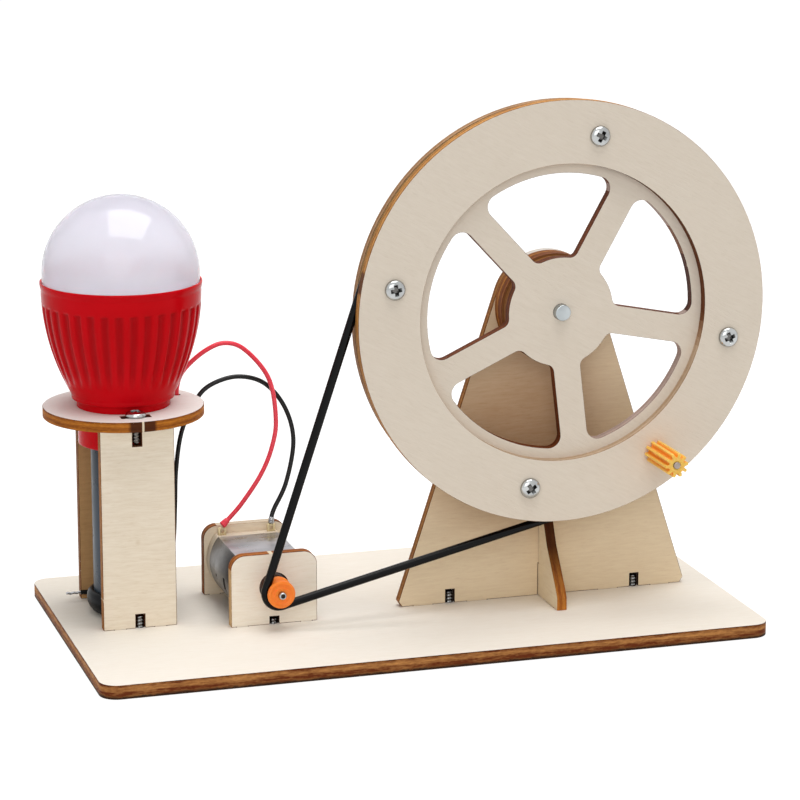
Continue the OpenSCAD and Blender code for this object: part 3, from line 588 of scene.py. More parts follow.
# Motor: a drawn steel can with two flats and vent slots, closed by a moulded end cap with two
# brass terminals. The magnets, brushes and bearings sit inside it.
CAN_SIDE, FLAT_FACING, EYELET_R, TERMINAL_OUT = 11.6, 0.97, 0.55*MM, 7.3
zinc = finish("zinc_plate", (62, 61, 61), (128, 124, 120), 0.26, 0.22, 620, 2e-5, metallic=0.9,
              stretch=(1, 0.5, 0.35))
zinc_painted_light = finish("bright_zinc_plate", (134, 135, 140), (206, 201, 204), 0.22, 0.22, 700, 2e-5, metallic=0.9,
                     stretch=(0.3, 1, 1))
pale_nylon = finish("pale_nylon", (206, 190, 164), (228, 216, 196), 0.45, 0.15, 500, 1.2e-5)
brass = finish("tinned_brass", (206, 186, 140), (232, 216, 178), 0.3, 0.2, 600, 5e-6, metallic=0.9)
ferrite = finish("ferrite", (44, 44, 47), (72, 72, 76), 0.6, 0.2, 700, 2e-5)


def cutter_box(low, high):
    """A box form between two corners in millimetres."""
    bm = bmesh.new()
    bmesh.ops.create_cube(bm, size=1.0)
    low, high = Vector(low)*MM, Vector(high)*MM
    for v in bm.verts:
        v.co = Vector((low[i] + (v.co[i] + 0.5)*(high[i] - low[i]) for i in range(3)))
    return bm


def carved(name, bm, cutters, sharp=35):
    """A form with other forms cut out of it, as one closed mesh."""
    body = bpy.data.objects.new(name + "_form", meshed(name + "_form", bm, sharp))
    scene.collection.objects.link(body)
    for cutter in cutters:
        tool = bpy.data.objects.new(name + "_cutter", meshed(name + "_cutter", cutter))
        scene.collection.objects.link(tool)
        cut = body.modifiers.new("cut", "BOOLEAN")
        cut.operation, cut.solver, cut.object = "DIFFERENCE", "EXACT", tool
        baked = bpy.data.meshes.new_from_object(body.evaluated_get(bpy.context.evaluated_depsgraph_get()))
        body.modifiers.clear()
        body.data = baked
        bpy.data.objects.remove(tool)
    mesh = body.data
    bpy.data.objects.remove(body)
    mesh.name = name
    mesh.materials.clear()
    return smoothed(mesh, sharp)


def eased(label, node, width, segments, material, body, slot):
    """A CAD solid with its edges taken off, as a piece of its own."""
    form = cad_form(node)
    ease(form, width*MM, 35, segments)
    place(meshed(label, form), [material], body, slot, node)


def coat(material, *nodes):
    """Gives CAD solids inside the object a finish."""
    for node in nodes:
        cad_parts[node].data.materials.clear()
        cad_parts[node].data.materials.append(material)


can_form = cad_form("motor_can")
ease(can_form, 0.45*MM, 25, 3)
vents = []
for side in (motor_x - CAN_SIDE, motor_x + CAN_SIDE):
    vents.append(cutter_box((side - 3, -0.5, 11.2), (side + 3, 1.9, 14.8)))
    vents.append(cutter_box((side - 3, 9.6, 12.4), (side + 3, 10.7, 13.5)))
shell_mesh = carved("motor_shell", can_form, vents, 25)
# The upper flat takes a lighter copy of the zinc, as painted light from above.
for face in shell_mesh.polygons:
    face.material_index = 1 if face.normal.z > FLAT_FACING else 0
place(shell_mesh, [zinc, zinc_painted_light], "stand", "can_steel", "motor_can")
eased("motor_cap", "motor_end_cap", 0.3, 2, pale_nylon, "stand", "tan_plastic")
for colour, dx in (("red", -TERMINAL_OUT), ("black", TERMINAL_OUT)):
    node = "motor_terminal_" + colour
    tab = cad_form(node)
    ease(tab, 0.12*MM, 35, 2)
    eyelet = bmesh.new()
    bmesh.ops.create_cone(eyelet, cap_ends=True, segments=20, radius1=EYELET_R, radius2=EYELET_R, depth=3*MM,
                          matrix=Matrix.Translation(Vector((motor_x + dx, 19.6, 23.2))*MM)
                          @ Matrix.Rotation(math.pi/2, 4, "X"))
    place(carved("terminal_" + colour, tab, [eyelet]), [brass], "stand", "brass", node)
coat(ferrite, "motor_magnets")
coat(brass, "motor_brushes", "motor_bearing_front", "motor_bearing_rear")

# Rotor: a ground steel shaft with a laminated core, copper windings and a commutator inside
# the can, and a turned orange pulley pressed on its front end.
pulley_y = -16.95
# Ground steel is painted dark where a piece marks it, as painted shade: the centre hole in the shaft's end.
ground_steel = finish("ground_steel", (160, 166, 168), (196, 202, 204), 0.24, 0.14, 700, 4e-6, metallic=1.0,
                      hollow=(58, 48, 42))
pulley_orange = finish("pulley_orange", (253, 130, 40), (255, 146, 54), 0.36, 0.12, 500, 8e-6,
                       Subsurface_Weight=0.15, Subsurface_Scale=0.001, Specular_IOR_Level=0.3)
copper = finish("enamelled_copper", (150, 84, 48), (190, 112, 66), 0.3, 0.2, 900, 3e-5, metallic=0.9,
                stretch=(1, 6, 1))


def lathe(profile, sides):
    """A closed form turned round Z from a list of radius and height, in millimetres."""
    bm = bmesh.new()
    rings = []
    for r, h in profile:
        if r == 0:
            rings.append([bm.verts.new((0, 0, h*MM))])
        else:
            rings.append([bm.verts.new((r*MM*math.cos(a), r*MM*math.sin(a), h*MM))
                          for a in (2*math.pi*j/sides for j in range(sides))])
    pairs = list(zip(rings, rings[1:]))
    if profile[0][0] and profile[-1][0]:
        pairs.append((rings[-1], rings[0]))
    for low, high in pairs:
        for j in range(sides):
            k = (j + 1) % sides
            corners = [low[0]] if len(low) == 1 else [low[j], low[k]]
            corners += [high[0]] if len(high) == 1 else [high[k], high[j]]
            bm.faces.new(corners)
    bmesh.ops.recalc_face_normals(bm, faces=bm.faces)
    return bm


def along_y(x, y, z):
    """Puts a form that was turned round Z on an axis along Y, its top to the front."""
    return Matrix.Translation(Vector((x, y, z))*MM) @ Matrix.Rotation(math.pi/2, 4, "X")


def mark(form, name, value_at):
    """Stores a number at every point of a form, from a function of the point in millimetres."""
    layer = form.verts.layers.float.new(name)
    for v in form.verts:
        v[layer] = value_at(v.co/MM)


def turned_piece(label, profile, sides, spot, material, body, slot, node, hollow=None):
    """A piece turned on a lathe and put at its place, with painted shade marked where a function gives it."""
    form = lathe(profile, sides)
    if hollow:
        mark(form, "hollow", hollow)
    form.transform(spot)
    place(meshed(label, form), [material], body, slot, node)


turned_piece("pulley", [
    (1.0, -2.7), (3.55, -2.7), (3.82, -2.62), (3.95, -2.4), (3.95, -1.75), (3.88, -1.6), (3.3, -1.25),
    (2.85, -0.85), (2.62, -0.4), (2.6, 0.0), (2.62, 0.4), (2.85, 0.85), (3.3, 1.25), (3.88, 1.6), (3.95, 1.75),
    (3.95, 2.3), (3.85, 2.52), (3.6, 2.62), (3.2, 2.64), (3.0, 2.5), (2.7, 2.36), (2.15, 2.36), (2.05, 2.42),
    (2.0, 2.62), (1.9, 2.7), (1.25, 2.7), (1.1, 2.62), (1.0, 2.5)], 72,
    along_y(motor_x, pulley_y, motor_z), pulley_orange, "rotor", "orange_plastic", "motor_pulley")
shaft_low, shaft_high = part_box("motor_shaft")
shaft_long = (shaft_high.y - shaft_low.y)/MM
turned_piece("rotor_shaft", [
    (0, 0), (0.85, 0), (1.0, 0.15), (1.0, shaft_long - 0.16), (0.86, shaft_long), (0.66, shaft_long),
    (0.58, shaft_long - 0.9), (0, shaft_long - 1.0)], 48,
    along_y(motor_x, shaft_high.y/MM, motor_z), ground_steel, "rotor", "steel", "motor_shaft",
    lambda p: 1.0 if p.xy.length < 0.6 and p.z > 1 else 0.0)
coat(ferrite, "armature_core")
coat(copper, "armature_windings", "commutator")

# Lamp posts and table: two upright plates and a round plate on top of them, all thin plywood
# with burnt edges. The rear post shows the darker back of its veneer.
lamp_x, lamp_y, table_top = -75.1, 13.4, 64.4
plate("post_front", "lamp_post_front", "stand", "y", pale=(249, 238, 220), deep=(218, 198, 168), grain=0.55,
      turn=1.5, shift=(0.44, 0.52, 0), glow=(196, 132, 70), brown=(136, 84, 40), burn=0.45,
      nick=(-85.1, -2.6, 12.8), nick_size=0.15, nick_burn_and_shade=0.01, stain_and_shade=(-75.4, -4.05, 28.8), stain_and_shade_size=1.1,
      # Painted shade: the edges up in the table's slots are burnt and painted near black.
      others=[(lambda p: p.z > 62, (66, 30, 18), (44, 18, 12), (24, 10, 7), 0.7),
              (lambda p: abs(p.x - lamp_x) < SLOT_HALF, (124, 80, 50), (92, 54, 32), (54, 30, 18), 0.6)])
plate("post_rear", "lamp_post_rear", "stand", "y", pale=(242, 228, 205), deep=(210, 190, 156), grain=0.5, turn=-1,
      shift=(0.14, 0.92, 0), glow=(170, 110, 60), brown=(120, 76, 40), burn=0.6,
      back=((206, 162, 112), (172, 128, 82), 1))
plate("lamp_stage", "lamp_table", "stand", "z", pale=(248, 249, 246), deep=(230, 222, 208), grain=0.42, turn=3,
      shift=(0.61, 0.33, 0), glow=(206, 128, 44), brown=(136, 72, 22), char=(66, 30, 14), burn=0.42,
      nick=(-74.4, -9.2, 63))

# Storage cell: a sleeved round cell that stands in a black moulded cup between the posts, with
# its steel button under the lamp's neck.
sleeve = finish("cell_sleeve", (44, 53, 62), (70, 81, 93), 0.24, 0.14, 220, 1e-5, Specular_IOR_Level=0.14)
black_moulding = finish("black_moulding", (5, 6, 9), (13, 14, 18), 0.26, 0.2, 500, 1.2e-5, Specular_IOR_Level=0.13)


def over_lamp(z):
    """Puts a form that was turned round Z on the lamp's axis at a height, standing up."""
    return Matrix.Translation(Vector((lamp_x, lamp_y, z))*MM)


turned_piece("cell_body", [
    (0, 6.4), (8.7, 6.4), (9.2, 6.6), (9.4, 7.1), (9.4, 56.6), (9.3, 56.95), (9.0, 57.3), (8.95, 57.6), (9.1, 58.0),
    (9.35, 58.5), (9.4, 58.9), (9.3, 59.5), (9.0, 59.9), (8.4, 60.0), (6.6, 60.0), (6.4, 59.8), (0, 59.8)], 96,
    over_lamp(0), sleeve, "stand", "cell_sleeve", "storage_cell")
turned_piece("cell_foot", [
    (0, 3.9), (7.6, 3.9), (8.2, 4.0), (9.2, 4.5), (10.1, 5.25), (10.8, 6.2), (11.25, 7.3), (11.4, 8.4), (11.3, 9.4),
    (11.0, 10.2), (10.5, 10.7), (9.9, 10.9), (9.5, 10.85), (9.42, 10.6), (9.42, 6.38), (0, 6.38)], 96,
    over_lamp(0), black_moulding, "stand", "black_plastic", "cell_end_cup")
eased("cell_contact", "cell_button", 0.25, 3, ground_steel, "stand", "steel")

# Lamp cup: a glossy red moulding with upright flutes, its neck pushed through the table. The
# flutes start sharply under a plain band and run out towards the foot.
WALL_LOW, WALL_TOP, WALL_STEPS = 3.6, 33.4, 60
FLUTE_LOW, FLUTE_RUN, FLUTE_TOP, FLUTE_DEEP = 6.6, 6.0, 29.0, 0.62
# The flutes are painted a deeper red by their depth, as painted shade.
cup_red = finish("cup_red", (198, 4, 14), (212, 8, 22), 0.15, 0.06, 300, 6e-6, hollow=(158, 2, 10),
                 Specular_IOR_Level=0.05)


def close_tree(tree, geometry, ends_in, ends_out):
    """Ends a geometry tree: one real mesh with its finish."""
    whole = add(tree, "GeometryNodeRealizeInstances", {"Geometry": geometry})
    coated = add(tree, "GeometryNodeSetMaterial", {"Geometry": whole.outputs[0], "Material": ends_in["Finish"]})
    deliver(tree, ends_out, {"Geometry": coated.outputs[0]})


# Flutes: each point of a turned form moves inwards by its own depth where a flute runs, and that depth is stored as
# painted shade for the finish.
fluting, flute_in, flute_out = new_group(
    "fluting", "GeometryNodeTree",
    [("Geometry", "Geometry", None), ("Count", "Float", 34.0), ("Share", "Float", 0.4), ("Soft", "Float", 0.15),
     ("Turn", "Float", 0.0), ("Finish", "Material", None)],
    [("Geometry", "Geometry")])
plus, minus, times, over, larger = maths(fluting)
spot = add(fluting, "ShaderNodeSeparateXYZ", {0: add(fluting, "GeometryNodeInputPosition").outputs[0]}).outputs
round_angle = over(calc(fluting, "ARCTAN2", spot[1], spot[0]), 2*math.pi)
phase = calc(fluting, "FRACT", plus(times(round_angle, flute_in["Count"]), flute_in["Turn"], 100.0))
off_middle = calc(fluting, "ABSOLUTE", minus(times(phase, 2.0), 1.0))
share, soft = flute_in["Share"], flute_in["Soft"]
flute = ranged(fluting, off_middle, minus(share, soft), plus(share, soft), 1.0, 0.0, interpolation_type="SMOOTHSTEP")
depth = add(fluting, "GeometryNodeInputNamedAttribute", {"Name": "flute_depth"}, data_type="FLOAT").outputs[0]
flat_spot = add(fluting, "ShaderNodeCombineXYZ", {0: spot[0], 1: spot[1]}).outputs[0]
outward = vectors(fluting, "NORMALIZE", flat_spot)
shift_by = add(fluting, "ShaderNodeVectorMath", {0: outward, "Scale": times(flute, depth, -1.0)}, operation="SCALE")
pressed = add(fluting, "GeometryNodeSetPosition", {
    "Geometry": flute_in["Geometry"], "Offset": shift_by.outputs[0]})
marked = add(fluting, "GeometryNodeStoreNamedAttribute", {
    "Geometry": pressed.outputs[0], "Name": "hollow", "Value": times(flute, depth, 1/MM)},
    data_type="FLOAT", domain="POINT")
close_tree(fluting, marked.outputs[0], flute_in, flute_out)


def grown(name, mesh, tree, values, spot=None, sharp=35):
    """Runs a mesh through a node tree with its named inputs and gives the plain mesh back."""
    seed = bpy.data.objects.new(name + "_seed", mesh)
    scene.collection.objects.link(seed)
    run = seed.modifiers.new("run", "NODES")
    run.node_group = tree
    for item in tree.interface.items_tree:
        if item.item_type == "SOCKET" and item.in_out == "INPUT" and item.name in values:
            run[item.identifier] = values[item.name]
    seed.update_tag()
    made = bpy.data.meshes.new_from_object(seed.evaluated_get(bpy.context.evaluated_depsgraph_get()))
    seed.modifiers.clear()
    bpy.data.objects.remove(seed)
    bpy.data.meshes.remove(mesh)
    bm = bmesh.new()
    bm.from_mesh(made)
    bpy.data.meshes.remove(made)
    if spot is not None:
        bm.transform(spot)
    return meshed(name, bm, sharp)


def fluted(label, profile, sides, depth_at, values, spot, sharp, material, body, slot, node):
    """A turned piece with flutes, as deep at each point as a function says."""
    form = lathe(profile, sides)
    mark(form, "flute_depth", depth_at)
    seed = bpy.data.meshes.new(label + "_seed")
    form.to_mesh(seed)
    form.free()
    mesh = grown(label, seed, fluting, dict(values, Finish=material), spot, sharp)
    place(mesh, [material], body, slot, node)


def cup_wall(h):
    """Outer radius of the cup at a height above the table."""
    return 22.3 - 7.8*((WALL_TOP - h)/(WALL_TOP - WALL_LOW))**2.05


def cup_flute(p):
    """Depth of the cup's flutes at a point, in metres."""
    on_wall = p.xy.length > cup_wall(min(max(p.z, WALL_LOW), WALL_TOP)) - 0.3
    if not on_wall or not FLUTE_LOW < p.z < FLUTE_TOP:
        return 0.0
    return FLUTE_DEEP*MM * min(1.0, (p.z - FLUTE_LOW)/FLUTE_RUN)


cup_profile = [
    (9.6, -10.8), (12.5, -10.8), (12.75, -10.65), (12.8, -10.3), (12.8, 0.02), (13.05, 0.06), (13.05, 1.7),
    (13.1, 1.93), (13.5, 2.08), (14.1, 2.2), (14.4, 2.4), (14.48, 2.7), (14.5, 3.3)]
wall_heights = [WALL_LOW + (WALL_TOP - WALL_LOW)*i/WALL_STEPS for i in range(WALL_STEPS)] + [WALL_TOP]
cup_profile += [(cup_wall(h), h) for h in wall_heights]
cup_profile += [
    (22.42, 33.7), (22.5, 34.1), (22.58, 34.7), (22.58, 35.2), (22.45, 35.38), (22.2, 35.4), (22.08, 35.25),
    (22.05, 34.1), (21.4, 33.8), (20.5, 33.8), (20.5, 31.4), (19.0, 31.4), (19.0, 27.4), (11.0, 5.6), (2.2, 2.6),
    (2.2, 0.1), (9.6, 0.1)]
fluted("lamp_holder", cup_profile, 408, cup_flute, {"Count": 34.0, "Share": 0.46, "Soft": 0.3, "Turn": 0.3},
       over_lamp(table_top), 60, cup_red, "stand", "red_plastic", "lamp_cup")

# Lamp head: a frosted dome that sits inside the cup's rim over a round board with six light
# chips. The dome is blown plastic, milky all through; its tone is painted darker at the crown and a little at the
# skirt, as painted shade.
DOME_R, DOME_SKIRT, DOME_RISE = 21.95, -3.4, 37.3
frost = finish("frosted_dome", (245, 244, 251), (248, 247, 253), 0.74, 0.1, 160, 3e-6, hollow=(221, 219, 230),
               Transmission_Weight=0.66, IOR=1.2, Specular_IOR_Level=0.0, Coat_Weight=0.8, Coat_Roughness=0.03)
board_white = finish("board_coat", (222, 224, 224), (240, 241, 241), 0.4, 0.1, 500, 8e-6)
phosphor = finish("chip_phosphor", (230, 208, 96), (246, 226, 120), 0.5, 0.1, 900, 1e-5)
dome_profile = [(0, DOME_SKIRT), (DOME_R, DOME_SKIRT)]
dome_profile += [(DOME_R*math.cos(math.radians(a)), DOME_R*math.sin(math.radians(a))) for a in range(0, 90, 3)]
dome_profile += [(0, DOME_R)]
turned_piece("lamp_globe", dome_profile, 128, over_lamp(table_top + DOME_RISE), frost, "stand", "frosted_plastic",
             "lamp_dome", lambda p: max(p.z/DOME_R, 0.35 - 2*p.z/DOME_R))
coat(board_white, "led_board")
coat(phosphor, "led_chips")

# Wheel: a spoked plate between two rings, all thin plywood, so that the belt runs in the
# groove at the rim. A hub disc behind the spokes thickens the middle for the axle.
wheel_veneer = {"pale": (234, 223, 208), "deep": (209, 193, 172), "grain": 0.34, "arris": 0.08*MM}
# The front ring's inner walls are painted dark brown from its right round to its top, fading in steps, as painted
# shade; the rest take the pale tone.
WALL_PAINTED_SHADE = ((118, 64, 30), (84, 42, 18), (62, 30, 12))
WALL_PALE = ((206, 182, 156), (176, 146, 116), (148, 112, 80))
INNER_WALL, SHADE_FROM, SHADE_TO, FADE_STEPS, FADE_TURN = 45, -2, 78, 6, 3
rim_walls_painted_shade = []
for step in range(FADE_STEPS):
    tones = [[d + (p - d)*step/FADE_STEPS for d, p in zip(dark, pale)] for dark, pale in zip(WALL_PAINTED_SHADE, WALL_PALE)]
    rim_walls_painted_shade.append((lambda p, low=SHADE_FROM - FADE_TURN*step: (
        from_axle(p) < INNER_WALL and low < round_axle(p) < SHADE_TO), *tones, 0.45))
rim_walls_painted_shade.append((lambda p: from_axle(p) < INNER_WALL, *WALL_PALE, 0.4))
plate("rim_front", "wheel_front_ring", "wheel", "y", turn=28, shift=(0.27, 0.71, 0), glow=(220, 162, 88),
      brown=(140, 84, 38), char=(92, 50, 22), burn=0.38, nick=(-16.2, -19.9, 101.9), nick_size=0.16, nick_burn_and_shade=1.2,
      others=rim_walls_painted_shade, **wheel_veneer)
plate("wheel_spokes", "wheel_spider", "wheel", "y", turn=28, shift=(0.57, 0.11, 0), glow=(146, 78, 36),
      brown=(90, 44, 20), char=(70, 34, 16), burn=0.6,
      # Painted shade: the window walls on the upper right are painted dark brown, fading over the next turn; the
      # other walls on the right take a pale grey-pink.
      others=[(lambda p: from_axle(p) > 30 and -3 < round_axle(p) < 22,
               (104, 56, 36), (68, 34, 22), (46, 24, 16), 0.6),
              (lambda p: from_axle(p) > 36 and 22 <= round_axle(p) < 36,
               (158, 112, 84), (122, 80, 56), (86, 52, 36), 0.5),
              (lambda p: from_axle(p) > 36 and -83 < round_axle(p) < 69,
               (200, 178, 168), (166, 142, 132), (132, 104, 92), 0.45)],
      **wheel_veneer)
plate("rim_rear", "wheel_rear_ring", "wheel", "y", turn=64, shift=(0.9, 0.41, 0), glow=(198, 160, 120),
      brown=(136, 96, 62), burn=0.48, back=((204, 164, 112), (156, 112, 70), 1), **wheel_veneer)
plate("hub_backing", "wheel_hub_disc", "wheel", "y", turn=10, shift=(0.2, 0.2, 0), burn=0.6, **wheel_veneer)

# Axle: a steel pin pressed through the hub, with a collar behind the upright that keeps the
# wheel from sliding out. Its ends are turned with a small chamfer.
eased("wheel_pin", "wheel_axle", 0.35, 3, ground_steel, "wheel", "steel")
eased("wheel_pin_collar", "axle_collar", 0.25, 2, ground_steel, "wheel", "steel")

# Crank: a toothed orange knob on a thin steel pin through the rim, moulded like a long pinion,
# and a small collar that keeps the pin from pulling out.
pin_x, pin_z, knob_front, knob_back = 71.639, 48.134, -37.3, -21.5
KNOB_ROOT, KNOB_TIP, KNOB_STEPS = 2.35, 3.5, 12
knob_long = knob_back - knob_front
# Between the teeth the orange is painted deeper, as painted shade.
knob_orange = finish("knob_orange", (255, 196, 86), (255, 210, 108), 0.34, 0.12, 500, 8e-6, hollow=(255, 164, 50),
                     Subsurface_Weight=0.3, Subsurface_Scale=0.0015, Subsurface_Radius=(1, 0.6, 0.2),
                     Specular_IOR_Level=0.3)
dull_steel = finish("dull_steel", (124, 114, 108), (164, 152, 144), 0.34, 0.16, 900, 5e-6, metallic=1.0)
knob_profile = [(1.0, 0), (3.3, 0), (KNOB_TIP, 0.18)]
knob_profile += [(KNOB_TIP, knob_long*i/KNOB_STEPS) for i in range(1, KNOB_STEPS)]
knob_profile += [(KNOB_TIP, knob_long - 0.18), (3.3, knob_long), (2.6, knob_long), (1.25, knob_long),
                 (1.0, knob_long - 0.25)]
fluted("crank_handle", knob_profile, 240, lambda p: max(0.0, p.xy.length - KNOB_ROOT)*MM,
       {"Count": 10.0, "Share": 0.5, "Soft": 0.22, "Turn": 0.88}, along_y(pin_x, knob_back, pin_z), 40,
       knob_orange, "knob", "knob_plastic", "crank_knob")
eased("crank_axle", "crank_pin", 0.2, 2, dull_steel, "knob", "steel")
eased("crank_axle_collar", "crank_pin_collar", 0.2, 2, dull_steel, "knob", "steel")

# Drive belt: a round rubber cord joined into a loop. It lies in the wheel's groove and the
# pulley's groove, and its two runs are straight between them.
belt_r, belt_on_wheel, belt_on_pulley = 1.2, 57.95, 4.05
WHEEL_STEPS, PULLEY_STEPS, BELT_SIDES = 150, 24, 20
rubber = finish("belt_rubber", (3, 3, 4), (8, 8, 9), 0.16, 0.1, 600, 1e-5, Specular_IOR_Level=0.15)
belt_run, belt_in, belt_out = new_group(
    "belt_run", "GeometryNodeTree",
    [("Geometry", "Geometry", None), ("Radius", "Float", 0.0012), ("Sides", "Int", 20), ("Finish", "Material", None)],
    [("Geometry", "Geometry")])
belt_line = add(belt_run, "GeometryNodeMeshToCurve", {"Mesh": belt_in["Geometry"]})
belt_section = add(belt_run, "GeometryNodeCurvePrimitiveCircle", {
    "Resolution": belt_in["Sides"], "Radius": belt_in["Radius"]})
belt_skin = add(belt_run, "GeometryNodeCurveToMesh", {
    "Curve": belt_line.outputs[0], "Profile Curve": belt_section.outputs[0]})
close_tree(belt_run, belt_skin.outputs[0], belt_in, belt_out)
reach = Vector((wheel_x - motor_x, wheel_z - motor_z))
lean = math.asin((belt_on_wheel - belt_on_pulley)/reach.length)
middle = math.atan2(reach.y, reach.x)
low_a, high_a = middle - math.pi/2 - lean, middle + math.pi/2 + lean
belt_points = []
for x, z, r, start, sweep, steps in (
        (wheel_x, wheel_z, belt_on_wheel, low_a, high_a - low_a, WHEEL_STEPS),
        (motor_x, motor_z, belt_on_pulley, high_a, 2*math.pi - (high_a - low_a), PULLEY_STEPS)):
    for i in range(steps + 1):
        a = start + sweep*i/steps
        belt_points.append(((x + r*math.cos(a))*MM, pulley_y*MM, (z + r*math.sin(a))*MM))
belt_seed = bpy.data.meshes.new("belt_seed")
belt_count = len(belt_points)
belt_seed.from_pydata(belt_points, [(i, (i + 1) % belt_count) for i in range(belt_count)], [])
belt_mesh = grown("belt_loop", belt_seed, belt_run, {"Radius": belt_r*MM, "Sides": BELT_SIDES, "Finish": rubber})
place(belt_mesh, [rubber], "stand", "belt_rubber", "drive_belt")

# Screws: bright plated pan heads with a cross recess through the rim and the table, and sunk
# heads from under the base. Their threads show in the open slots of the plates.
THREAD_R, THREAD_ROOT, PITCH, THREAD_SIDES = 1.28, 1.06, 0.95, 20
RECESS_LONG, RECESS_WIDE, RECESS_R = 3.7, 1.2, 2.1*MM
RIM_R, RIM_FACE = 50.5, -21.3
# The plating is painted dark as painted shade in the cross recesses, round the foot of each head and in the thread's
# valleys.
plated = finish("bright_plate", (164, 166, 166), (200, 202, 202), 0.1, 0.12, 900, 5e-6, metallic=1.0,
                hollow=(78, 75, 72))


def thread(long, start):
    """A threaded shank along Z from a height down, closed at both ends."""
    bm = bmesh.new()
    valley = bm.verts.layers.float.new("hollow")
    steps = int(long/PITCH*8)
    rings = []
    for i in range(steps + 1):
        h = start - long*i/steps
        taper = min(1.0, 0.4 + (steps - i)/10)
        ring = []
        for j in range(THREAD_SIDES):
            a = 2*math.pi*j/THREAD_SIDES
            ridge = max(0.0, 1 - abs((h/PITCH - j/THREAD_SIDES) % 1.0 - 0.5)*3.2)
            r = (THREAD_ROOT + (THREAD_R - THREAD_ROOT)*ridge)*taper
            ring.append(bm.verts.new((r*MM*math.cos(a), r*MM*math.sin(a), h*MM)))
            # Painted shade: the valleys between the ridges are dark, the crests light.
            ring[-1][valley] = 0.95 - 0.6*ridge
        rings.append(ring)
    skin(bm, rings)
    return bm


def recess_arm(top, deep, quarter):
    """One bar of the tapered cross that a driver fits, cut from a height down."""
    arm = bmesh.new()
    bmesh.ops.create_cube(arm, size=1.0)
    for v in arm.verts:
        narrow, h = (1.0, top + 0.2) if v.co.z > 0 else (0.45, top - deep)
        v.co = Vector((v.co.x*RECESS_LONG*narrow, v.co.y*RECESS_WIDE*(0.6 + 0.4*narrow), h))*MM
    arm.transform(Matrix.Rotation(quarter, 4, "Z"))
    return arm


def screw(name, head, top, deep, shank_long, shank_start):
    """A screw on Z: a turned head with its recess, and its thread below."""
    head_mesh = carved(name + "_head", lathe(head, 48), [recess_arm(top, deep, a) for a in (0.0, math.pi/2)], 30)
    bm = bmesh.new()
    bm.from_mesh(head_mesh)
    bpy.data.meshes.remove(head_mesh)
    # Painted shade: dark in the cross recess, half as dark low on the head.
    recess = bm.verts.layers.float.new("hollow")
    for v in bm.verts:
        inside = v.co.xy.length < RECESS_R and v.co.z < (top - 0.4)*MM
        v[recess] = 0.85 if inside else 0.5 if v.co.z < (top - 1.1)*MM else 0.0
    shank_mesh = meshed(name + "_shank", thread(shank_long, shank_start))
    bm.from_mesh(shank_mesh)
    bpy.data.meshes.remove(shank_mesh)
    return bpy.data.objects.new(name, meshed(name, bm, 30))


screw_set, set_in, set_out = new_group(
    "screw_set", "GeometryNodeTree",
    [("Geometry", "Geometry", None), ("Screw", "Object", None), ("Finish", "Material", None)],
    [("Geometry", "Geometry")])
pattern = add(screw_set, "GeometryNodeObjectInfo", {"Object": set_in["Screw"]}, transform_space="ORIGINAL")
turns_at = add(screw_set, "GeometryNodeInputNamedAttribute", {"Name": "turn"}, data_type="FLOAT_VECTOR").outputs[0]
as_turn = add(screw_set, "FunctionNodeEulerToRotation", {0: turns_at}).outputs[0]
spread_out = add(screw_set, "GeometryNodeInstanceOnPoints", {
    "Points": set_in["Geometry"], "Instance": pattern.outputs["Geometry"], "Rotation": as_turn})
close_tree(screw_set, spread_out.outputs[0], set_in, set_out)


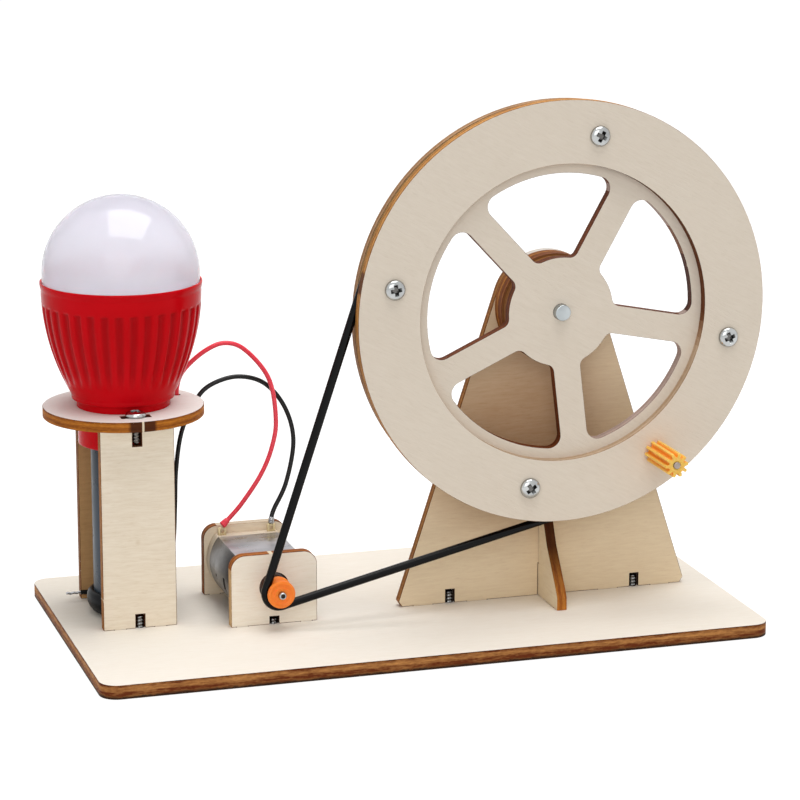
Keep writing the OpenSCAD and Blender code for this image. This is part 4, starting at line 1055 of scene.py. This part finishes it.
def screws(name, pattern_screw, places, body, *nodes):
    """Sets one screw at every place: a point in millimetres, and turns about X and then its own axis."""
    seed = bpy.data.meshes.new(name + "_seed")
    seed.from_pydata([Vector(at)*MM for at, tip, spin in places], [], [])
    turns = seed.attributes.new("turn", "FLOAT_VECTOR", "POINT")
    for item, (at, tip, spin) in zip(turns.data, places):
        item.vector = (Matrix.Rotation(math.radians(tip), 3, "X")
                       @ Matrix.Rotation(math.radians(spin), 3, "Z")).to_euler()
    scene.collection.objects.link(pattern_screw)
    mesh = grown(name, seed, screw_set, {"Screw": pattern_screw, "Finish": plated}, sharp=30)
    bpy.data.objects.remove(pattern_screw)
    place(mesh, [plated], body, "screw_chrome", *nodes)


PAN_TOP, PAN_FOOT, PAN_DEEP, SUNK_DEEP, SUNK_RECESS = 1.7, 0.02, 1.25, 1.5, 1.0
pan_head = [(0, PAN_FOOT), (2.81, PAN_FOOT), (2.9, 0.12), (2.9, 0.42), (2.86, 0.66), (2.68, 1.0), (2.3, 1.3),
            (1.8, 1.52), (1.15, 1.65), (0.5, 1.69), (0, PAN_TOP)]
sunk_head = [(0, -SUNK_DEEP), (1.3, -SUNK_DEEP), (2.72, -0.1), (2.75, -0.03), (2.6, 0.0), (0, 0.0)]
rim_places = []
for k, spin in enumerate((22, 62, 8, 35)):
    a = math.radians(-11 + 90*k)
    rim_places.append(((wheel_x + RIM_R*math.cos(a), RIM_FACE, wheel_z + RIM_R*math.sin(a)), 90, spin))
screws("rim_screws", screw("rim_screw", pan_head, PAN_TOP, PAN_DEEP, 8.1, PAN_FOOT), rim_places, "wheel",
       "ring_screw_1", "ring_screw_2", "ring_screw_3", "ring_screw_4")
post_screw_y = (-2.6, 29.4)
screws("table_screws", screw("table_screw", pan_head, PAN_TOP, PAN_DEEP, 7.85, PAN_FOOT),
       [((lamp_x, y, table_top), 0, spin) for y, spin in zip(post_screw_y, (30, 70))], "stand",
       "table_screw_front", "table_screw_rear")
for label, long, places, nodes in (
        ("stand_screws", 7.85, [(wheel_x - STAND_SCREW_OUT, -4.95), (wheel_x + STAND_SCREW_OUT, -4.95)],
         ("stand_screw_left", "stand_screw_right")),
        ("bracket_screws", 6.05, [(motor_x, -9.75), (motor_x, 22.85)], ("motor_screw_front", "motor_screw_rear")),
        ("post_screws", 7.85, [(lamp_x, y) for y in post_screw_y], ("post_screw_front", "post_screw_rear"))):
    screws(label, screw(label + "_one", sunk_head, 0.0, SUNK_RECESS, long - SUNK_DEEP, -SUNK_DEEP),
           [((x, y, 0.0), 180, 25 + 40*k) for k, (x, y) in enumerate(places)], "stand", *nodes)
